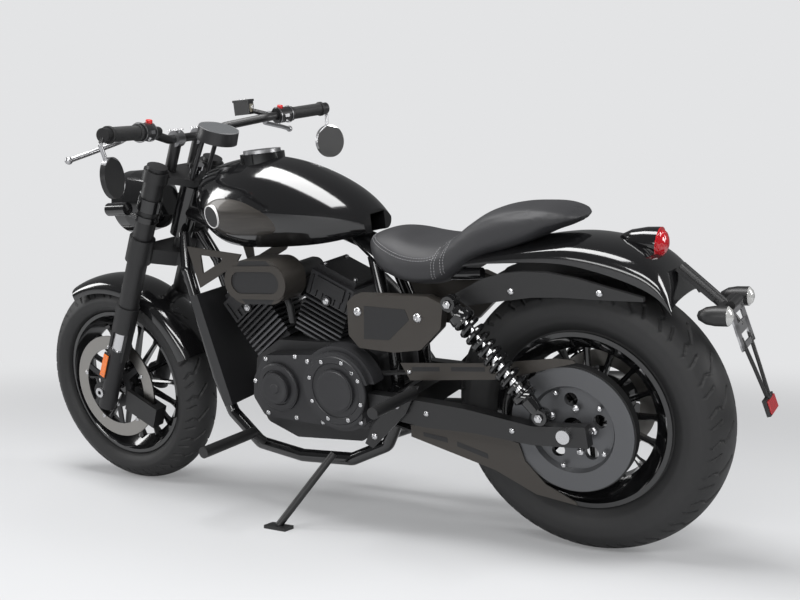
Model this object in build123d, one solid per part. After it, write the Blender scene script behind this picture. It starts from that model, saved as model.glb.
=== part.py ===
"""Cruiser motorcycle with a V-twin engine, standing on its side stand.

Every piece is drawn on the upright machine: X forward, Y to the rider's left, Z up, with the origin
on the ground under the rear axle.  At the end all pieces are leaned over together onto the stand and
moved so that the origin lies under the middle of the machine.  Lengths are millimetres, angles degrees.
"""

from build123d import *
import os
from math import acos, atan2, cos, degrees, pi, radians, sin, sqrt

# ---------------------------------------------------------------- driving dimensions
LEAN = 11.0                      # lean to the left on the side stand
WHEELBASE = 1420.0
GAP = 0.4                        # between pieces that are bolted or pressed together

# steering geometry
RAKE = 27.2                      # steering axis from the vertical
FORK_OFFSET = 37.0               # fork legs ahead of the steering axis
AXLE_LEAD = 13.0                 # front axle ahead of the fork legs
FORK_SPREAD = 105.0              # fork legs from the middle plane

# tyres: outer radius, width and radius of the crown
REAR_TYRE_R, REAR_TYRE_W, REAR_CROWN = 310.5, 148.0, 93.0
FRONT_TYRE_R, FRONT_TYRE_W, FRONT_CROWN = 299.0, 122.0, 62.0

# rims
REAR_LIP_R, REAR_RIM_W = 198.0, 122.0
FRONT_LIP_R, FRONT_RIM_W = 213.0, 82.0

# the crowns touch the ground when the machine has leaned over
REAR_AXLE_Z = REAR_TYRE_R + REAR_CROWN * (1 / cos(radians(LEAN)) - 1)
FRONT_AXLE_Z = FRONT_TYRE_R + FRONT_CROWN * (1 / cos(radians(LEAN)) - 1)

# brakes and final drive
FRONT_DISC_R, FRONT_DISC_Y = 150.0, 70.0
REAR_DISC_R, REAR_DISC_Y = 120.0, -88.0
DISC_T = 5.0
PULLEY_R, BELT_W, BELT_Y, BELT_T = 134.0, 24.0, 101.0, 5.0
SPROCKET_R, SPROCKET_X, SPROCKET_Z = 45.0, 525.0, 352.0

# chassis
SWINGARM_PIVOT = (452.0, 345.0)
SWINGARM_Y, SWINGARM_T = 138.0, 28.0
SHOCK_Y, SHOCK_R = 158.0, 30.0
SHOCK_TOP, SHOCK_FOOT = (237.0, 592.0), (46.0, 353.0)
FRAME_TUBE_R = 16.0
CRANK = (735.0, 350.0)
FRONT_CYL_TILT, REAR_CYL_TILT = 36.0, -26.0

OUT = "parts"
os.makedirs(OUT, exist_ok=True)

# ---------------------------------------------------------------- helpers
def P(x, y, z):
    """A point on the upright machine."""
    return Vector(x, y, z)


def plate(outline, y_from, y_to, corner=0.0):
    """A flat plate: an outline of (x, z) points, from one side plane to another."""
    pts = [(x, y_from, z) for x, z in outline]
    if corner:
        wire = FilletPolyline(*pts, radius=corner, close=True)
    else:
        wire = Polyline(*pts, close=True)
    return extrude(make_face(wire), amount=y_to - y_from, dir=(0, 1, 0))


def disc(x, z, radius, y_from, y_to, hole=0.0):
    """A round disc, or a ring if it has a hole, with its axis across the machine."""
    body = Cylinder(radius, abs(y_to - y_from))
    if hole:
        body -= Cylinder(hole, abs(y_to - y_from) + 2)
    return Pos(x, (y_from + y_to) / 2, z) * Rot(90, 0, 0) * body


def rod(a, b, radius):
    """A round bar between two points."""
    a, b = Vector(*a), Vector(*b)
    span = b - a
    return Plane(origin=(a + b) / 2, z_dir=span) * Cylinder(radius, span.length)


def bent(points, radius, bend):
    """A round tube along straight runs joined by arcs."""
    path = FilletPolyline(*points, radius=bend) if len(points) > 2 else Line(*points)
    start = Plane(origin=path @ 0, z_dir=path % 0)
    return sweep(start * Circle(radius), path=path)


def both(piece):
    """A piece and its mirror image on the other side."""
    return piece + mirror(piece, about=Plane.XZ)


def spin(profile, x=0.0, z=0.0, y=0.0):
    """Turn a closed list of (y, r) points, given as edges or as points, about the cross axis."""
    if isinstance(profile, list):
        profile = Polyline(*[(0, py, pr) for py, pr in profile], close=True)
    return Pos(x, y, z) * revolve(make_face(profile), axis=Axis.Y)


# place of the steering: local Z runs up the steering axis and local X forward from it
STEER_X = Vector(cos(radians(RAKE)), 0, sin(radians(RAKE)))
STEER_Z = Vector(-sin(radians(RAKE)), 0, cos(radians(RAKE)))
FRONT_AXLE = Vector(WHEELBASE, 0, FRONT_AXLE_Z)
STEER_O = FRONT_AXLE - STEER_X * (FORK_OFFSET + AXLE_LEAD)
STEER = Location(STEER_O, (0, -RAKE, 0))


def steer_point(fwd, y, up):
    """A point given by its distance ahead of the steering axis, its side and its height along it."""
    return STEER_O + STEER_X * fwd + STEER_Z * up + Vector(0, y, 0)


NODES = {}

# ---------------------------------------------------------------- wheels
def tyre_section(outer, width, crown, lip, rim_w, wall=9.0):
    """Half-round crown, bulging walls and beads that sit outside the rim lips."""
    half, bead = width / 2, rim_w / 2 - 9
    shoulder = 0.93 * half
    drop = crown - sqrt(crown ** 2 - shoulder ** 2)
    mid = (lip + outer - drop) / 2
    edge = [
        ThreePointArc((0, -shoulder, outer - drop), (0, 0, outer), (0, shoulder, outer - drop)),
        ThreePointArc((0, shoulder, outer - drop), (0, half, mid), (0, bead, lip + 3)),
        Polyline((0, bead, lip + 3), (0, bead, lip - 8), (0, bead - wall, lip - 8), (0, bead - wall, lip + 3)),
        ThreePointArc((0, bead - wall, lip + 3), (0, half - wall, mid), (0, shoulder - wall, outer - drop - 2)),
        ThreePointArc((0, shoulder - wall, outer - drop - 2), (0, 0, outer - wall - 3),
                      (0, wall - shoulder, outer - drop - 2)),
        ThreePointArc((0, wall - shoulder, outer - drop - 2), (0, wall - half, mid), (0, wall - bead, lip + 3)),
        Polyline((0, wall - bead, lip + 3), (0, wall - bead, lip - 8), (0, -bead, lip - 8), (0, -bead, lip + 3)),
        ThreePointArc((0, -bead, lip + 3), (0, -half, mid), (0, -shoulder, outer - drop)),
    ]
    return edge


def tyre(outer, width, crown, lip, rim_w, x, z):
    return Pos(x, 0, z) * revolve(make_face(tyre_section(outer, width, crown, lip, rim_w)), axis=Axis.Y)


def rim(lip, rim_w, hub_r, hub_w, bore, spokes, x, z):
    """Drop-centre rim, hub and cast spokes."""
    half = rim_w / 2
    well = lip - 34
    seat = lip - 8 - GAP
    barrel = spin([
        (-half, lip), (-half + 6, lip), (-half + 6, seat), (-half + 24, seat - 2), (-half + 34, well),
        (half - 34, well), (half - 24, seat - 2), (half - 6, seat), (half - 6, lip), (half, lip),
        (half, lip - 10), (half - 14, lip - 17), (half - 38, well - 9), (-half + 38, well - 9),
        (-half + 14, lip - 17), (-half, lip - 10)])
    hub = spin([(-hub_w, bore), (-hub_w, hub_r), (hub_w, hub_r), (hub_w, bore)])
    inner, outer = hub_r - 5, well - 2
    blade = [(-14, inner), (14, inner), (9, outer), (-9, outer)]
    spoke = extrude(make_face(Polyline(*[(u, -12, r) for u, r in blade], close=True)), amount=24, dir=(0, 1, 0))
    arms = [Rot(0, 360 * i / spokes, 0) * spoke for i in range(spokes)]
    return Pos(x, 0, z) * (barrel + hub + arms)


AXLE_R, AXLE_BORE_R = 10.0, 6.0
NODES["rear_tyre"] = tyre(REAR_TYRE_R, REAR_TYRE_W, REAR_CROWN, REAR_LIP_R, REAR_RIM_W, 0, REAR_AXLE_Z)
NODES["rear_rim"] = rim(REAR_LIP_R, REAR_RIM_W, 46, 62, AXLE_R + 2, 10, 0, REAR_AXLE_Z)
NODES["front_tyre"] = tyre(FRONT_TYRE_R, FRONT_TYRE_W, FRONT_CROWN, FRONT_LIP_R, FRONT_RIM_W,
                           WHEELBASE, FRONT_AXLE_Z)
NODES["front_rim"] = rim(FRONT_LIP_R, FRONT_RIM_W, 40, 50, AXLE_R + 2, 10, WHEELBASE, FRONT_AXLE_Z)


def brake_disc(radius, y, x, z, hub_r):
    """Flat ring on a carrier with arms."""
    ring = disc(0, 0, radius, y - DISC_T / 2, y + DISC_T / 2, radius - 38)
    carrier = disc(0, 0, hub_r + 14, y - DISC_T / 2, y + DISC_T / 2, hub_r - 8)
    arm = Pos(0, y, (hub_r + radius - 30) / 2) * Box(16, DISC_T, radius - 30 - hub_r)
    arms = [Rot(0, 360 * i / 6, 0) * arm for i in range(6)]
    return Pos(x, 0, z) * (ring + carrier + arms)


NODES["front_disc"] = brake_disc(FRONT_DISC_R, FRONT_DISC_Y, WHEELBASE, FRONT_AXLE_Z, 48)
NODES["rear_disc"] = brake_disc(REAR_DISC_R, REAR_DISC_Y, 0, REAR_AXLE_Z, 48)

pulley = spin([(BELT_Y - BELT_W / 2 - 4, PULLEY_R + 3), (BELT_Y - BELT_W / 2 - 1, PULLEY_R + 3),
               (BELT_Y - BELT_W / 2 - 1, PULLEY_R), (BELT_Y + BELT_W / 2 + 1, PULLEY_R),
               (BELT_Y + BELT_W / 2 + 1, PULLEY_R + 3), (BELT_Y + BELT_W / 2 + 4, PULLEY_R + 3),
               (BELT_Y + BELT_W / 2 + 4, 96), (BELT_Y + 4, 90), (BELT_Y + 4, 24), (BELT_Y - 10, 24),
               (BELT_Y - 10, 90), (BELT_Y - BELT_W / 2 - 4, 96)])
for i in range(5):
    pulley -= Rot(0, 360 * i / 5, 0) * disc(0, 64, 15, BELT_Y - 20, BELT_Y + 20)
NODES["rear_pulley"] = Pos(0, 0, REAR_AXLE_Z) * pulley

# ---------------------------------------------------------------- axles
NODES["rear_axle"] = (disc(0, REAR_AXLE_Z, AXLE_R, -SWINGARM_Y - 22, SWINGARM_Y + 22)
                      + both(disc(0, REAR_AXLE_Z, 15, SWINGARM_Y + SWINGARM_T / 2 + GAP, SWINGARM_Y + 26)))
NODES["front_axle"] = (disc(WHEELBASE, FRONT_AXLE_Z, AXLE_R, -130, 130)
                       + both(disc(WHEELBASE, FRONT_AXLE_Z, 14, 126, 134))
                       - disc(WHEELBASE, FRONT_AXLE_Z, AXLE_BORE_R, -140, 140))

# ---------------------------------------------------------------- fork and steering
FORK_TOP, TOP_CLAMP, LOW_CLAMP = 706.0, (665.0, 695.0), (430.0, 500.0)
COLLAR, SLIDER_FOOT = (210.0, 290.0), -46.0
TUBE_R, SLIDER_R, STEM_R = 27.0, 20.5, 14.0


def leg(radius, low, high, side=1, inner=0.0):
    """A round sleeve on one fork leg."""
    body = Cylinder(radius, high - low)
    if inner:
        body -= Cylinder(inner, high - low + 2)
    return STEER * Pos(FORK_OFFSET, side * FORK_SPREAD, (low + high) / 2) * body


def clamp(low, high, ring_r, web, reach):
    """A triple clamp: two rings round the legs and a web between them."""
    height = high - low
    outline = Polyline((-web, 0, low), (-web, web, low), (FORK_OFFSET - 10, FORK_SPREAD + 4, low),
                       (FORK_OFFSET + 14, FORK_SPREAD + 4, low), (reach, 60, low), (reach, 0, low),
                       close=True)
    half = extrude(make_face(outline), amount=height * 0.6, dir=(0, 0, 1))
    body = half + mirror(half, about=Plane.XZ)
    body = body + [Pos(FORK_OFFSET, s * FORK_SPREAD, (low + high) / 2) * Cylinder(ring_r, height) for s in (1, -1)]
    body -= [Pos(FORK_OFFSET, s * FORK_SPREAD, (low + high) / 2) * Cylinder(TUBE_R + GAP / 2, height + 2)
             for s in (1, -1)]
    return STEER * body


stem = STEER * Pos(0, 0, (LOW_CLAMP[0] + FORK_TOP) / 2) * Cylinder(STEM_R, FORK_TOP - LOW_CLAMP[0])
nut = STEER * Pos(0, 0, FORK_TOP + 4) * Cylinder(19, 12)
NODES["fork_clamps"] = clamp(*LOW_CLAMP, 34, 30, 45) + clamp(*TOP_CLAMP, 33, 30, 68) + stem + nut
NODES["fork_tubes"] = both(leg(TUBE_R, COLLAR[0], FORK_TOP) + leg(TUBE_R + 4, *COLLAR))
axle_hole = disc(WHEELBASE, FRONT_AXLE_Z, AXLE_R + GAP / 2, -200, 200)
casting = leg(25, SLIDER_FOOT, 150) + STEER * Pos(FORK_OFFSET + AXLE_LEAD, FORK_SPREAD, 0) * Rot(90, 0, 0) * Cylinder(28, 42)
casting += STEER * Pos(FORK_OFFSET + AXLE_LEAD / 2, FORK_SPREAD, 0) * Box(30, 40, 50)
cap_seat = both(disc(WHEELBASE, FRONT_AXLE_Z, 14 + GAP, 126, 200))
NODES["fork_sliders"] = both(leg(SLIDER_R, 140, COLLAR[0] - GAP) + casting) - axle_hole - cap_seat

# handlebar: the half route is (x, y, z)
BAR_R = 11.0
BAR_HALF = [(1066, 0, 985), (1066, 72, 985), (1052, 130, 1001), (965, 205, 1012), (921, 405, 1018)]
bar_route = [(x, -y, z) for x, y, z in BAR_HALF[:0:-1]] + BAR_HALF[1:]
BAR_MID = Vector(*BAR_HALF[0])
BAR_FWD = (BAR_MID - STEER_O).dot(STEER_X)
BAR_UP = (BAR_MID - STEER_O).dot(STEER_Z)
RISER_Y, RISER_R = 42.0, 15.0
GRIP_R, GRIP_LENGTH, SWITCH_LENGTH = 17.0, 122.0, 46.0


def bar_point(inboard):
    """A point on the straight outer run of the bar, by its distance from the bar's end."""
    a, b = Vector(*BAR_HALF[-2]), Vector(*BAR_HALF[-1])
    return b + (a - b).normalized() * inboard


def on_bar(radius, start, stop, bore=BAR_R + GAP / 2):
    """A sleeve on the bar between two distances from its end."""
    return rod(bar_point(start), bar_point(stop), radius) - rod(bar_point(start - 2), bar_point(stop + 2), bore)


handlebar = bent(bar_route, BAR_R, 30)
for side in (1, -1):
    post_low, post_high = TOP_CLAMP[0] + 18 + GAP, BAR_UP
    handlebar += STEER * Pos(BAR_FWD, side * RISER_Y, (post_low + post_high) / 2) * Cylinder(RISER_R, post_high - post_low)
    handlebar += Pos(BAR_MID.X, side * RISER_Y, BAR_MID.Z) * Rot(90, 0, 0) * Cylinder(21, 24)
NODES["handlebar"] = handlebar
NODES["grips"] = both(on_bar(GRIP_R, GAP, GRIP_LENGTH))
bar_core = rod(bar_point(0), bar_point(190), BAR_R + GAP / 2)
switch = on_bar(21, GRIP_LENGTH + GAP, GRIP_LENGTH + SWITCH_LENGTH)
root = bar_point(GRIP_LENGTH + 34)
lever = bent([root + Vector(30, 0, 4), root + Vector(72, 18, -16), root + Vector(84, 110, -34),
              root + Vector(96, 160, -44)], 6, 12)
lever += rod(root + Vector(12, 0, 2), root + Vector(40, 0, 4), 11)
lever += Pos(root + Vector(96, 160, -44)) * Sphere(9)
NODES["hand_controls"] = both(switch + lever - bar_core)
MIRROR_R = 46.0
bar_end = bar_point(0)
out = (bar_end - bar_point(100)).normalized()
mirror_centre = bar_end + Vector(-8, 12, -94)
mirror_head = Plane(origin=mirror_centre, z_dir=(-0.94, -0.34, 0.0)) * Cylinder(MIRROR_R, 12)
mirror_stem = bent([bar_end + out * 10, bar_end + out * 12 + Vector(4, 12, -18), bar_end + Vector(0, 16, -54)], 5, 10)
mirror_cap = rod(bar_end + out * GAP, bar_end + out * 18, 16)
NODES["mirrors"] = both(mirror_head + mirror_stem + mirror_cap)
GAUGE = (962.0, 0.0, 985.0)
gauge = Pos(*GAUGE) * Rot(0, -22, 0) * Cylinder(52, 34)
gauge_arm = both(rod((985, 27, 986), steer_point(-16, 28, TOP_CLAMP[0] + 18), 6))
NODES["gauge"] = gauge + gauge_arm - NODES["fork_clamps"]

LAMP = (1232.0, 0.0, 822.0)
LAMP_R = 86.0
shell = spin([(0, 0.01), (0, 40), (34, 74), (90, LAMP_R), (128, LAMP_R), (128, LAMP_R - 8), (90, LAMP_R - 8), (92, 0.01)])
ear_up = 600.0
ear_ring = STEER * Pos(FORK_OFFSET, FORK_SPREAD, ear_up) * (Cylinder(TUBE_R + 4, 34) - Cylinder(TUBE_R + GAP / 2, 40))
ear = ear_ring + rod(steer_point(FORK_OFFSET + TUBE_R + 3, FORK_SPREAD - 8, ear_up), (LAMP[0] - 20, 70, LAMP[2]), 8)
NODES["headlamp"] = Pos(LAMP[0] - 62, 0, LAMP[2]) * Rot(0, 0, -90) * shell + both(ear - leg(TUBE_R + GAP / 2, COLLAR[1] + 5, FORK_TOP))
lens = spin([(94, 0.01), (94, LAMP_R - 8 - GAP), (126, LAMP_R - 8 - GAP), (134, 40), (136, 0.01)])
NODES["headlamp_lens"] = Pos(LAMP[0] - 62, 0, LAMP[2]) * Rot(0, 0, -90) * lens
front_signal = STEER * Pos(FORK_OFFSET, FORK_SPREAD, 560) * (Cylinder(TUBE_R + 4, 16) - Cylinder(TUBE_R + GAP / 2, 20))
front_signal += rod(steer_point(FORK_OFFSET + 8, FORK_SPREAD + TUBE_R, 560), (1192, 152, 822), 6)
front_signal += rod((1168, 152, 822), (1236, 152, 822), 17)
front_signal -= leg(TUBE_R + GAP / 2, COLLAR[1] + 5, FORK_TOP)
NODES["front_signals"] = both(front_signal)

# front fender: an arc over the tyre with side skirts
FENDER_R, FENDER_HALF = FRONT_TYRE_R + 20, 72.0
fender_ring = spin([(-FENDER_HALF, FENDER_R - 44), (-FENDER_HALF, FENDER_R - 14), (-FENDER_HALF + 20, FENDER_R),
                    (FENDER_HALF - 20, FENDER_R), (FENDER_HALF, FENDER_R - 14), (FENDER_HALF, FENDER_R - 44),
                    (FENDER_HALF - 3, FENDER_R - 44), (FENDER_HALF - 3, FENDER_R - 15),
                    (FENDER_HALF - 21, FENDER_R - 3), (-FENDER_HALF + 21, FENDER_R - 3),
                    (-FENDER_HALF + 3, FENDER_R - 15), (-FENDER_HALF + 3, FENDER_R - 44)])
FRONT_FENDER_FROM, FRONT_FENDER_TO = 66.0, 162.0


def sector(radius, start, stop, half):
    """A wedge across the machine between two angles, measured up from the forward direction."""
    steps = [start + (stop - start) * i / 6 for i in range(7)]
    rim_pts = [(radius * cos(radians(a)), radius * sin(radians(a))) for a in steps]
    return plate([(0, 0)] + rim_pts, -half, half)


fender = fender_ring & sector(600, FRONT_FENDER_FROM, FRONT_FENDER_TO, 200)
NODES["front_fender"] = Pos(WHEELBASE, 0, FRONT_AXLE_Z) * fender
caliper = plate([(-30, 68), (30, 60), (34, 176), (-26, 180)], 52, 92)
caliper -= disc(0, 0, FRONT_DISC_R + 6, FRONT_DISC_Y - 9, FRONT_DISC_Y + 9)
NODES["front_caliper"] = Pos(WHEELBASE, 0, FRONT_AXLE_Z) * Rot(0, -118, 0) * caliper

# ---------------------------------------------------------------- frame
HEAD_LOW, HEAD_HIGH, HEAD_R = 508.0, 656.0, 30.0
PIVOT_X, PIVOT_Z = SWINGARM_PIVOT
POST_Y = 66.0
BACKBONE = [(1098, 0, 792), (960, 0, 748), (620, 0, 738), (500, 0, 690)]
DOWNTUBE = [(1102, 30, 735), (1080, 62, 645), (1013, 74, 357), (971, 80, 262), (880, 92, 190), (740, 100, 172),
            (590, 96, 176), (495, 76, 215), (PIVOT_X, POST_Y, 300), (PIVOT_X, POST_Y, 480), (500, 36, 672)]
SEAT_RAIL = [(560, 12, 712), (440, 76, 652), (300, 88, 640), (190, 88, 642)]
frame = STEER * Pos(0, 0, (HEAD_LOW + HEAD_HIGH) / 2) * Cylinder(HEAD_R, HEAD_HIGH - HEAD_LOW)
frame += bent(BACKBONE, 24, 60)
frame += both(bent(DOWNTUBE, FRAME_TUBE_R, 24))
frame += both(bent(SEAT_RAIL, 13, 30))
frame += disc(PIVOT_X, PIVOT_Z, 24, -POST_Y - 18, POST_Y + 18)
frame -= STEER * Pos(0, 0, (HEAD_LOW + HEAD_HIGH) / 2) * Cylinder(STEM_R + 6, HEAD_HIGH - HEAD_LOW + 40)
frame -= disc(PIVOT_X, PIVOT_Z, AXLE_R + GAP, -200, 200)
NODES["frame"] = frame

# ---------------------------------------------------------------- engine
CASE_HALF = 86.0
case_outline = [(486, 300), (500, 262), (560, 222), (760, 214), (850, 250), (880, 330), (860, 420), (780, 470),
                (640, 468), (540, 470), (486, 440)]
NODES["engine_block"] = plate(case_outline, -CASE_HALF, CASE_HALF, 20)


def cylinder_unit(tilt):
    """Finned barrel and head along a tilted axis from the crank."""
    unit = Pos(0, 0, 185) * Box(96, 110, 130)
    unit += [Pos(0, 0, 136 + 13 * i) * Box(132, 144, 5) for i in range(8)]
    unit += Pos(0, 0, 268) * Box(128, 140, 64)
    return Pos(CRANK[0], 0, CRANK[1]) * Rot(0, tilt, 0) * unit


cylinders = cylinder_unit(FRONT_CYL_TILT) + cylinder_unit(REAR_CYL_TILT)
NODES["cylinders"] = cylinders - NODES["engine_block"]
covers = disc(762, 362, 62, CASE_HALF + GAP, 138) + disc(559, 378, 104, 118, 160)
covers += disc(762, 362, 40, 136, 150) + disc(559, 378, 92, 158, 172) + disc(559, 378, 52, 170, 180)
covers += plate([(840, 380), (800, 440), (620, 450), (620, 270), (820, 280), (850, 330)], CASE_HALF + GAP, 130, 20)
covers += plate([(640, 450), (510, 440), (496, 420), (496, 300), (510, 272), (640, 270)], 119, 130, 8)
right_cover = disc(700, 360, 100, -140, -CASE_HALF - GAP) + disc(592, 370, 92, -132, -CASE_HALF - GAP)
covers -= plate([(300, 296), (492, 296), (492, 396), (300, 396)], CASE_HALF, 300)
NODES["engine_covers"] = covers + right_cover
stadium = plate([(672, 580), (852, 580), (852, 686), (672, 686)], 84, 166, 50)
NODES["air_cleaner"] = stadium
NODES["radiator"] = Pos(983, 0, 440) * Rot(0, 13, 0) * Box(28, 240, 300)

# ---------------------------------------------------------------- tank, seat, covers
TANK = [  # x, half width, bottom, shoulder, top of each section
    (1018, 46, 800, 840, 884), (985, 88, 758, 820, 902), (900, 126, 716, 806, 918), (780, 140, 706, 800, 920),
    (660, 132, 708, 790, 886), (570, 104, 716, 776, 838), (502, 60, 726, 752, 778)]


def tank_section(x, half, low, shoulder, top):
    right = [ThreePointArc((x, 0, top), (x, half * 0.66, top - (top - shoulder) * 0.36), (x, half, shoulder)),
             ThreePointArc((x, half, shoulder), (x, half * 0.93, (shoulder + low) / 2 - 4), (x, half * 0.66, low)),
             Line((x, half * 0.66, low), (x, -half * 0.66, low)),
             ThreePointArc((x, -half * 0.66, low), (x, -half * 0.93, (shoulder + low) / 2 - 4), (x, -half, shoulder)),
             ThreePointArc((x, -half, shoulder), (x, -half * 0.66, top - (top - shoulder) * 0.36), (x, 0, top))]
    return make_face(right)


tank = loft([tank_section(*row) for row in TANK])
tunnel = plate([(1100, 640), (1100, 826), (960, 782), (480, 770), (480, 640)], -30, 30)
NODES["fuel_tank"] = tank - tunnel
CAP_X, CAP_RING_R, CAP_R, CAP_SEAT_Z = 825.0, 56.0, 47.0, 930.0
NECK_R, NECK_DEPTH = 30.0, 50.0
NODES["fuel_tank"] += Pos(CAP_X, 0, CAP_SEAT_Z - 20) * Cylinder(CAP_RING_R, 40)
NODES["fuel_tank"] -= Pos(CAP_X, 0, CAP_SEAT_Z) * Cylinder(NECK_R, 2 * NECK_DEPTH)
NODES["fuel_cap"] = Pos(CAP_X, 0, CAP_SEAT_Z + GAP + 4) * Cylinder(CAP_R, 8)
CAP_HINGE, CAP_AXIS, CAP_OPEN = P(CAP_X + CAP_R + 2, 0, CAP_SEAT_Z + GAP), P(0, 1, 0), 100.0
SEAT_SECTIONS = [  # x, half width, bottom, top
    (500, 60, 694, 728), (430, 118, 640, 738), (340, 150, 612, 716), (265, 146, 622, 714), (210, 122, 668, 756),
    (120, 112, 688, 781), (30, 100, 724, 777), (-38, 60, 738, 748)]


def seat_section(x, half, low, top):
    mid = (low + top) / 2
    return make_face([ThreePointArc((x, -half, mid), (x, 0, top), (x, half, mid)),
                      Line((x, half, mid), (x, half * 0.9, low)), Line((x, half * 0.9, low), (x, -half * 0.9, low)),
                      Line((x, -half * 0.9, low), (x, -half, mid))])


seat = loft([seat_section(*row) for row in SEAT_SECTIONS])
NODES["seat"] = seat - NODES["frame"]
side_cover = plate([(514, 586), (490, 604), (300, 602), (262, 585), (274, 530), (330, 480), (400, 471), (494, 478),
                    (520, 508)], 122, 148, 12)
NODES["side_covers"] = both(side_cover)

# rear fender
REAR_FENDER_W = 104.0
RF = [(300, 640, 676), (200, 664, 690), (100, 668, 704), (0, 664, 713), (-80, 646, 705), (-150, 622, 686),
      (-205, 590, 640), (-222, 560, 580)]


def fender_section(x, low, top, half, wall=3.0):
    drop = (top - low) * 0.45
    return make_face([ThreePointArc((x, -half, low), (x, -half * 0.8, top - drop * 0.6), (x, 0, top)),
                      ThreePointArc((x, 0, top), (x, half * 0.8, top - drop * 0.6), (x, half, low)),
                      Line((x, half, low), (x, -half, low))])


fender_top = plate([(300, 676), (200, 690), (100, 704), (0, 713), (-80, 705), (-150, 686), (-205, 640), (-222, 576),
                    (-190, 596), (-125, 630), (-60, 652), (0, 663), (60, 668), (150, 672), (300, 640)], -REAR_FENDER_W,
                   REAR_FENDER_W)
fender_in = plate([(310, 668), (200, 686), (100, 700), (0, 709), (-80, 701), (-148, 682), (-200, 638), (-219, 570),
                   (-230, 500), (310, 500)], -REAR_FENDER_W + 4, REAR_FENDER_W - 4)
NODES["rear_fender"] = fender_top - fender_in - NODES["seat"] - NODES["frame"]
rail_outline = [(252, 600), (178, 636), (130, 648), (83, 652), (28, 650), (-37, 638), (-100, 620), (-172, 600),
                (-172, 592), (-86, 594), (0, 598), (65, 597), (135, 588), (222, 576)]
NODES["fender_rails"] = both(plate(rail_outline, REAR_FENDER_W + 1, REAR_FENDER_W + 13))
NODES["tail_lamp"] = Pos(-140, 0, 732) * Rot(0, 90, 0) * Cylinder(34, 80) - NODES["rear_fender"]

# ---------------------------------------------------------------- rear running gear
arm = plate([(PIVOT_X + 30, 370), (345, 362), (231, 352), (73, 326), (-46, 334), (-50, 288), (77, 284), (212, 298),
             (340, 300), (PIVOT_X + 30, 320)], SWINGARM_Y - SWINGARM_T / 2, SWINGARM_Y + SWINGARM_T / 2)
arm -= disc(0, REAR_AXLE_Z, AXLE_R + GAP / 2, 0, 300)
swingarm = both(arm) + Pos(PIVOT_X - 70, 0, PIVOT_Z) * Box(40, 2 * SWINGARM_Y - SWINGARM_T + 4, 50)
swingarm += disc(PIVOT_X, PIVOT_Z, AXLE_R, -SWINGARM_Y, SWINGARM_Y)
NODES["swingarm"] = swingarm
shock_axis = Vector(SHOCK_TOP[0] - SHOCK_FOOT[0], 0, SHOCK_TOP[1] - SHOCK_FOOT[1])
top_eye, foot_eye = P(SHOCK_TOP[0], SHOCK_Y, SHOCK_TOP[1]), P(SHOCK_FOOT[0], SHOCK_Y, SHOCK_FOOT[1])
shock_dir = (foot_eye - top_eye).normalized()
shock = rod(top_eye + shock_dir * 30, foot_eye - shock_dir * 30, SHOCK_R)
shock += rod(top_eye, foot_eye, 9)
shock += disc(SHOCK_TOP[0], SHOCK_TOP[1], 17, REAR_FENDER_W + 14, SHOCK_Y + 16)
shock += disc(SHOCK_FOOT[0], SHOCK_FOOT[1], 16, SHOCK_Y - 14, SHOCK_Y + 14)
NODES["rear_shocks"] = both(shock) - NODES["swingarm"]


def belt_loop(offset):
    """Outline of the belt: two pulleys and the tangents to both, grown by an offset."""
    big, small = PULLEY_R + 0.8 + offset, SPROCKET_R + offset
    gap = sqrt(SPROCKET_X ** 2 + (SPROCKET_Z - REAR_AXLE_Z) ** 2)
    tilt = atan2(SPROCKET_Z - REAR_AXLE_Z, SPROCKET_X)
    open_angle = acos((big - small) / gap)
    top, low = tilt + open_angle, tilt - open_angle
    at = lambda c, r, a: (c[0] + r * cos(a), BELT_Y - BELT_W / 2, c[1] + r * sin(a))
    rear_c, front_c = (0, REAR_AXLE_Z), (SPROCKET_X, SPROCKET_Z)
    return make_face([
        Line(at(rear_c, big, top), at(front_c, small, top)),
        ThreePointArc(at(front_c, small, top), at(front_c, small, tilt), at(front_c, small, low)),
        Line(at(front_c, small, low), at(rear_c, big, low)),
        ThreePointArc(at(rear_c, big, low), at(rear_c, big, tilt + pi), at(rear_c, big, top))])


belt = extrude(belt_loop(BELT_T), amount=BELT_W, dir=(0, 1, 0)) - extrude(belt_loop(0), amount=BELT_W, dir=(0, 1, 0))
NODES["drive_belt"] = belt
upper_guard = plate([(402, 440), (160, 452), (20, 470), (-20, 468), (-24, 462), (150, 416), (380, 400)], 122.5, 125)
lower_guard = plate([(400, 290), (330, 286), (188, 290), (120, 250), (60, 180), (0, 152), (-4, 146), (90, 160),
                     (184, 204), (396, 262)], 118, 121)
NODES["belt_guards"] = upper_guard
rear_caliper = plate([(-28, 60), (28, 60), (30, 146), (-30, 146)], -112, -66)
rear_caliper -= disc(0, 0, REAR_DISC_R + 6, REAR_DISC_Y - 8, REAR_DISC_Y + 8)
NODES["rear_caliper"] = Pos(0, 0, REAR_AXLE_Z) * Rot(0, 60, 0) * rear_caliper

# exhaust on the right: front header to the lower silencer, rear header to the upper one
PIPE_R, SILENCER_R = 19.0, 37.0
LOWER_END, UPPER_END = (-30, -212, 228), (-50, -214, 308)
front_header = bent([(936, -30, 520), (954, -76, 505), (944, -134, 430), (920, -168, 300), (876, -186, 190),
                     (600, -200, 198), (520, -204, 204)], PIPE_R, 22)
rear_header = bent([(600, -72, 590), (592, -120, 585), (560, -160, 520), (545, -182, 400), (490, -204, 290),
                    (420, -208, 288)], PIPE_R, 22)
NODES["exhaust"] = (front_header + rod((520, -204, 204), LOWER_END, SILENCER_R)
                    + rear_header + rod((420, -208, 288), UPPER_END, SILENCER_R - 1)) - NODES["cylinders"]

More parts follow.
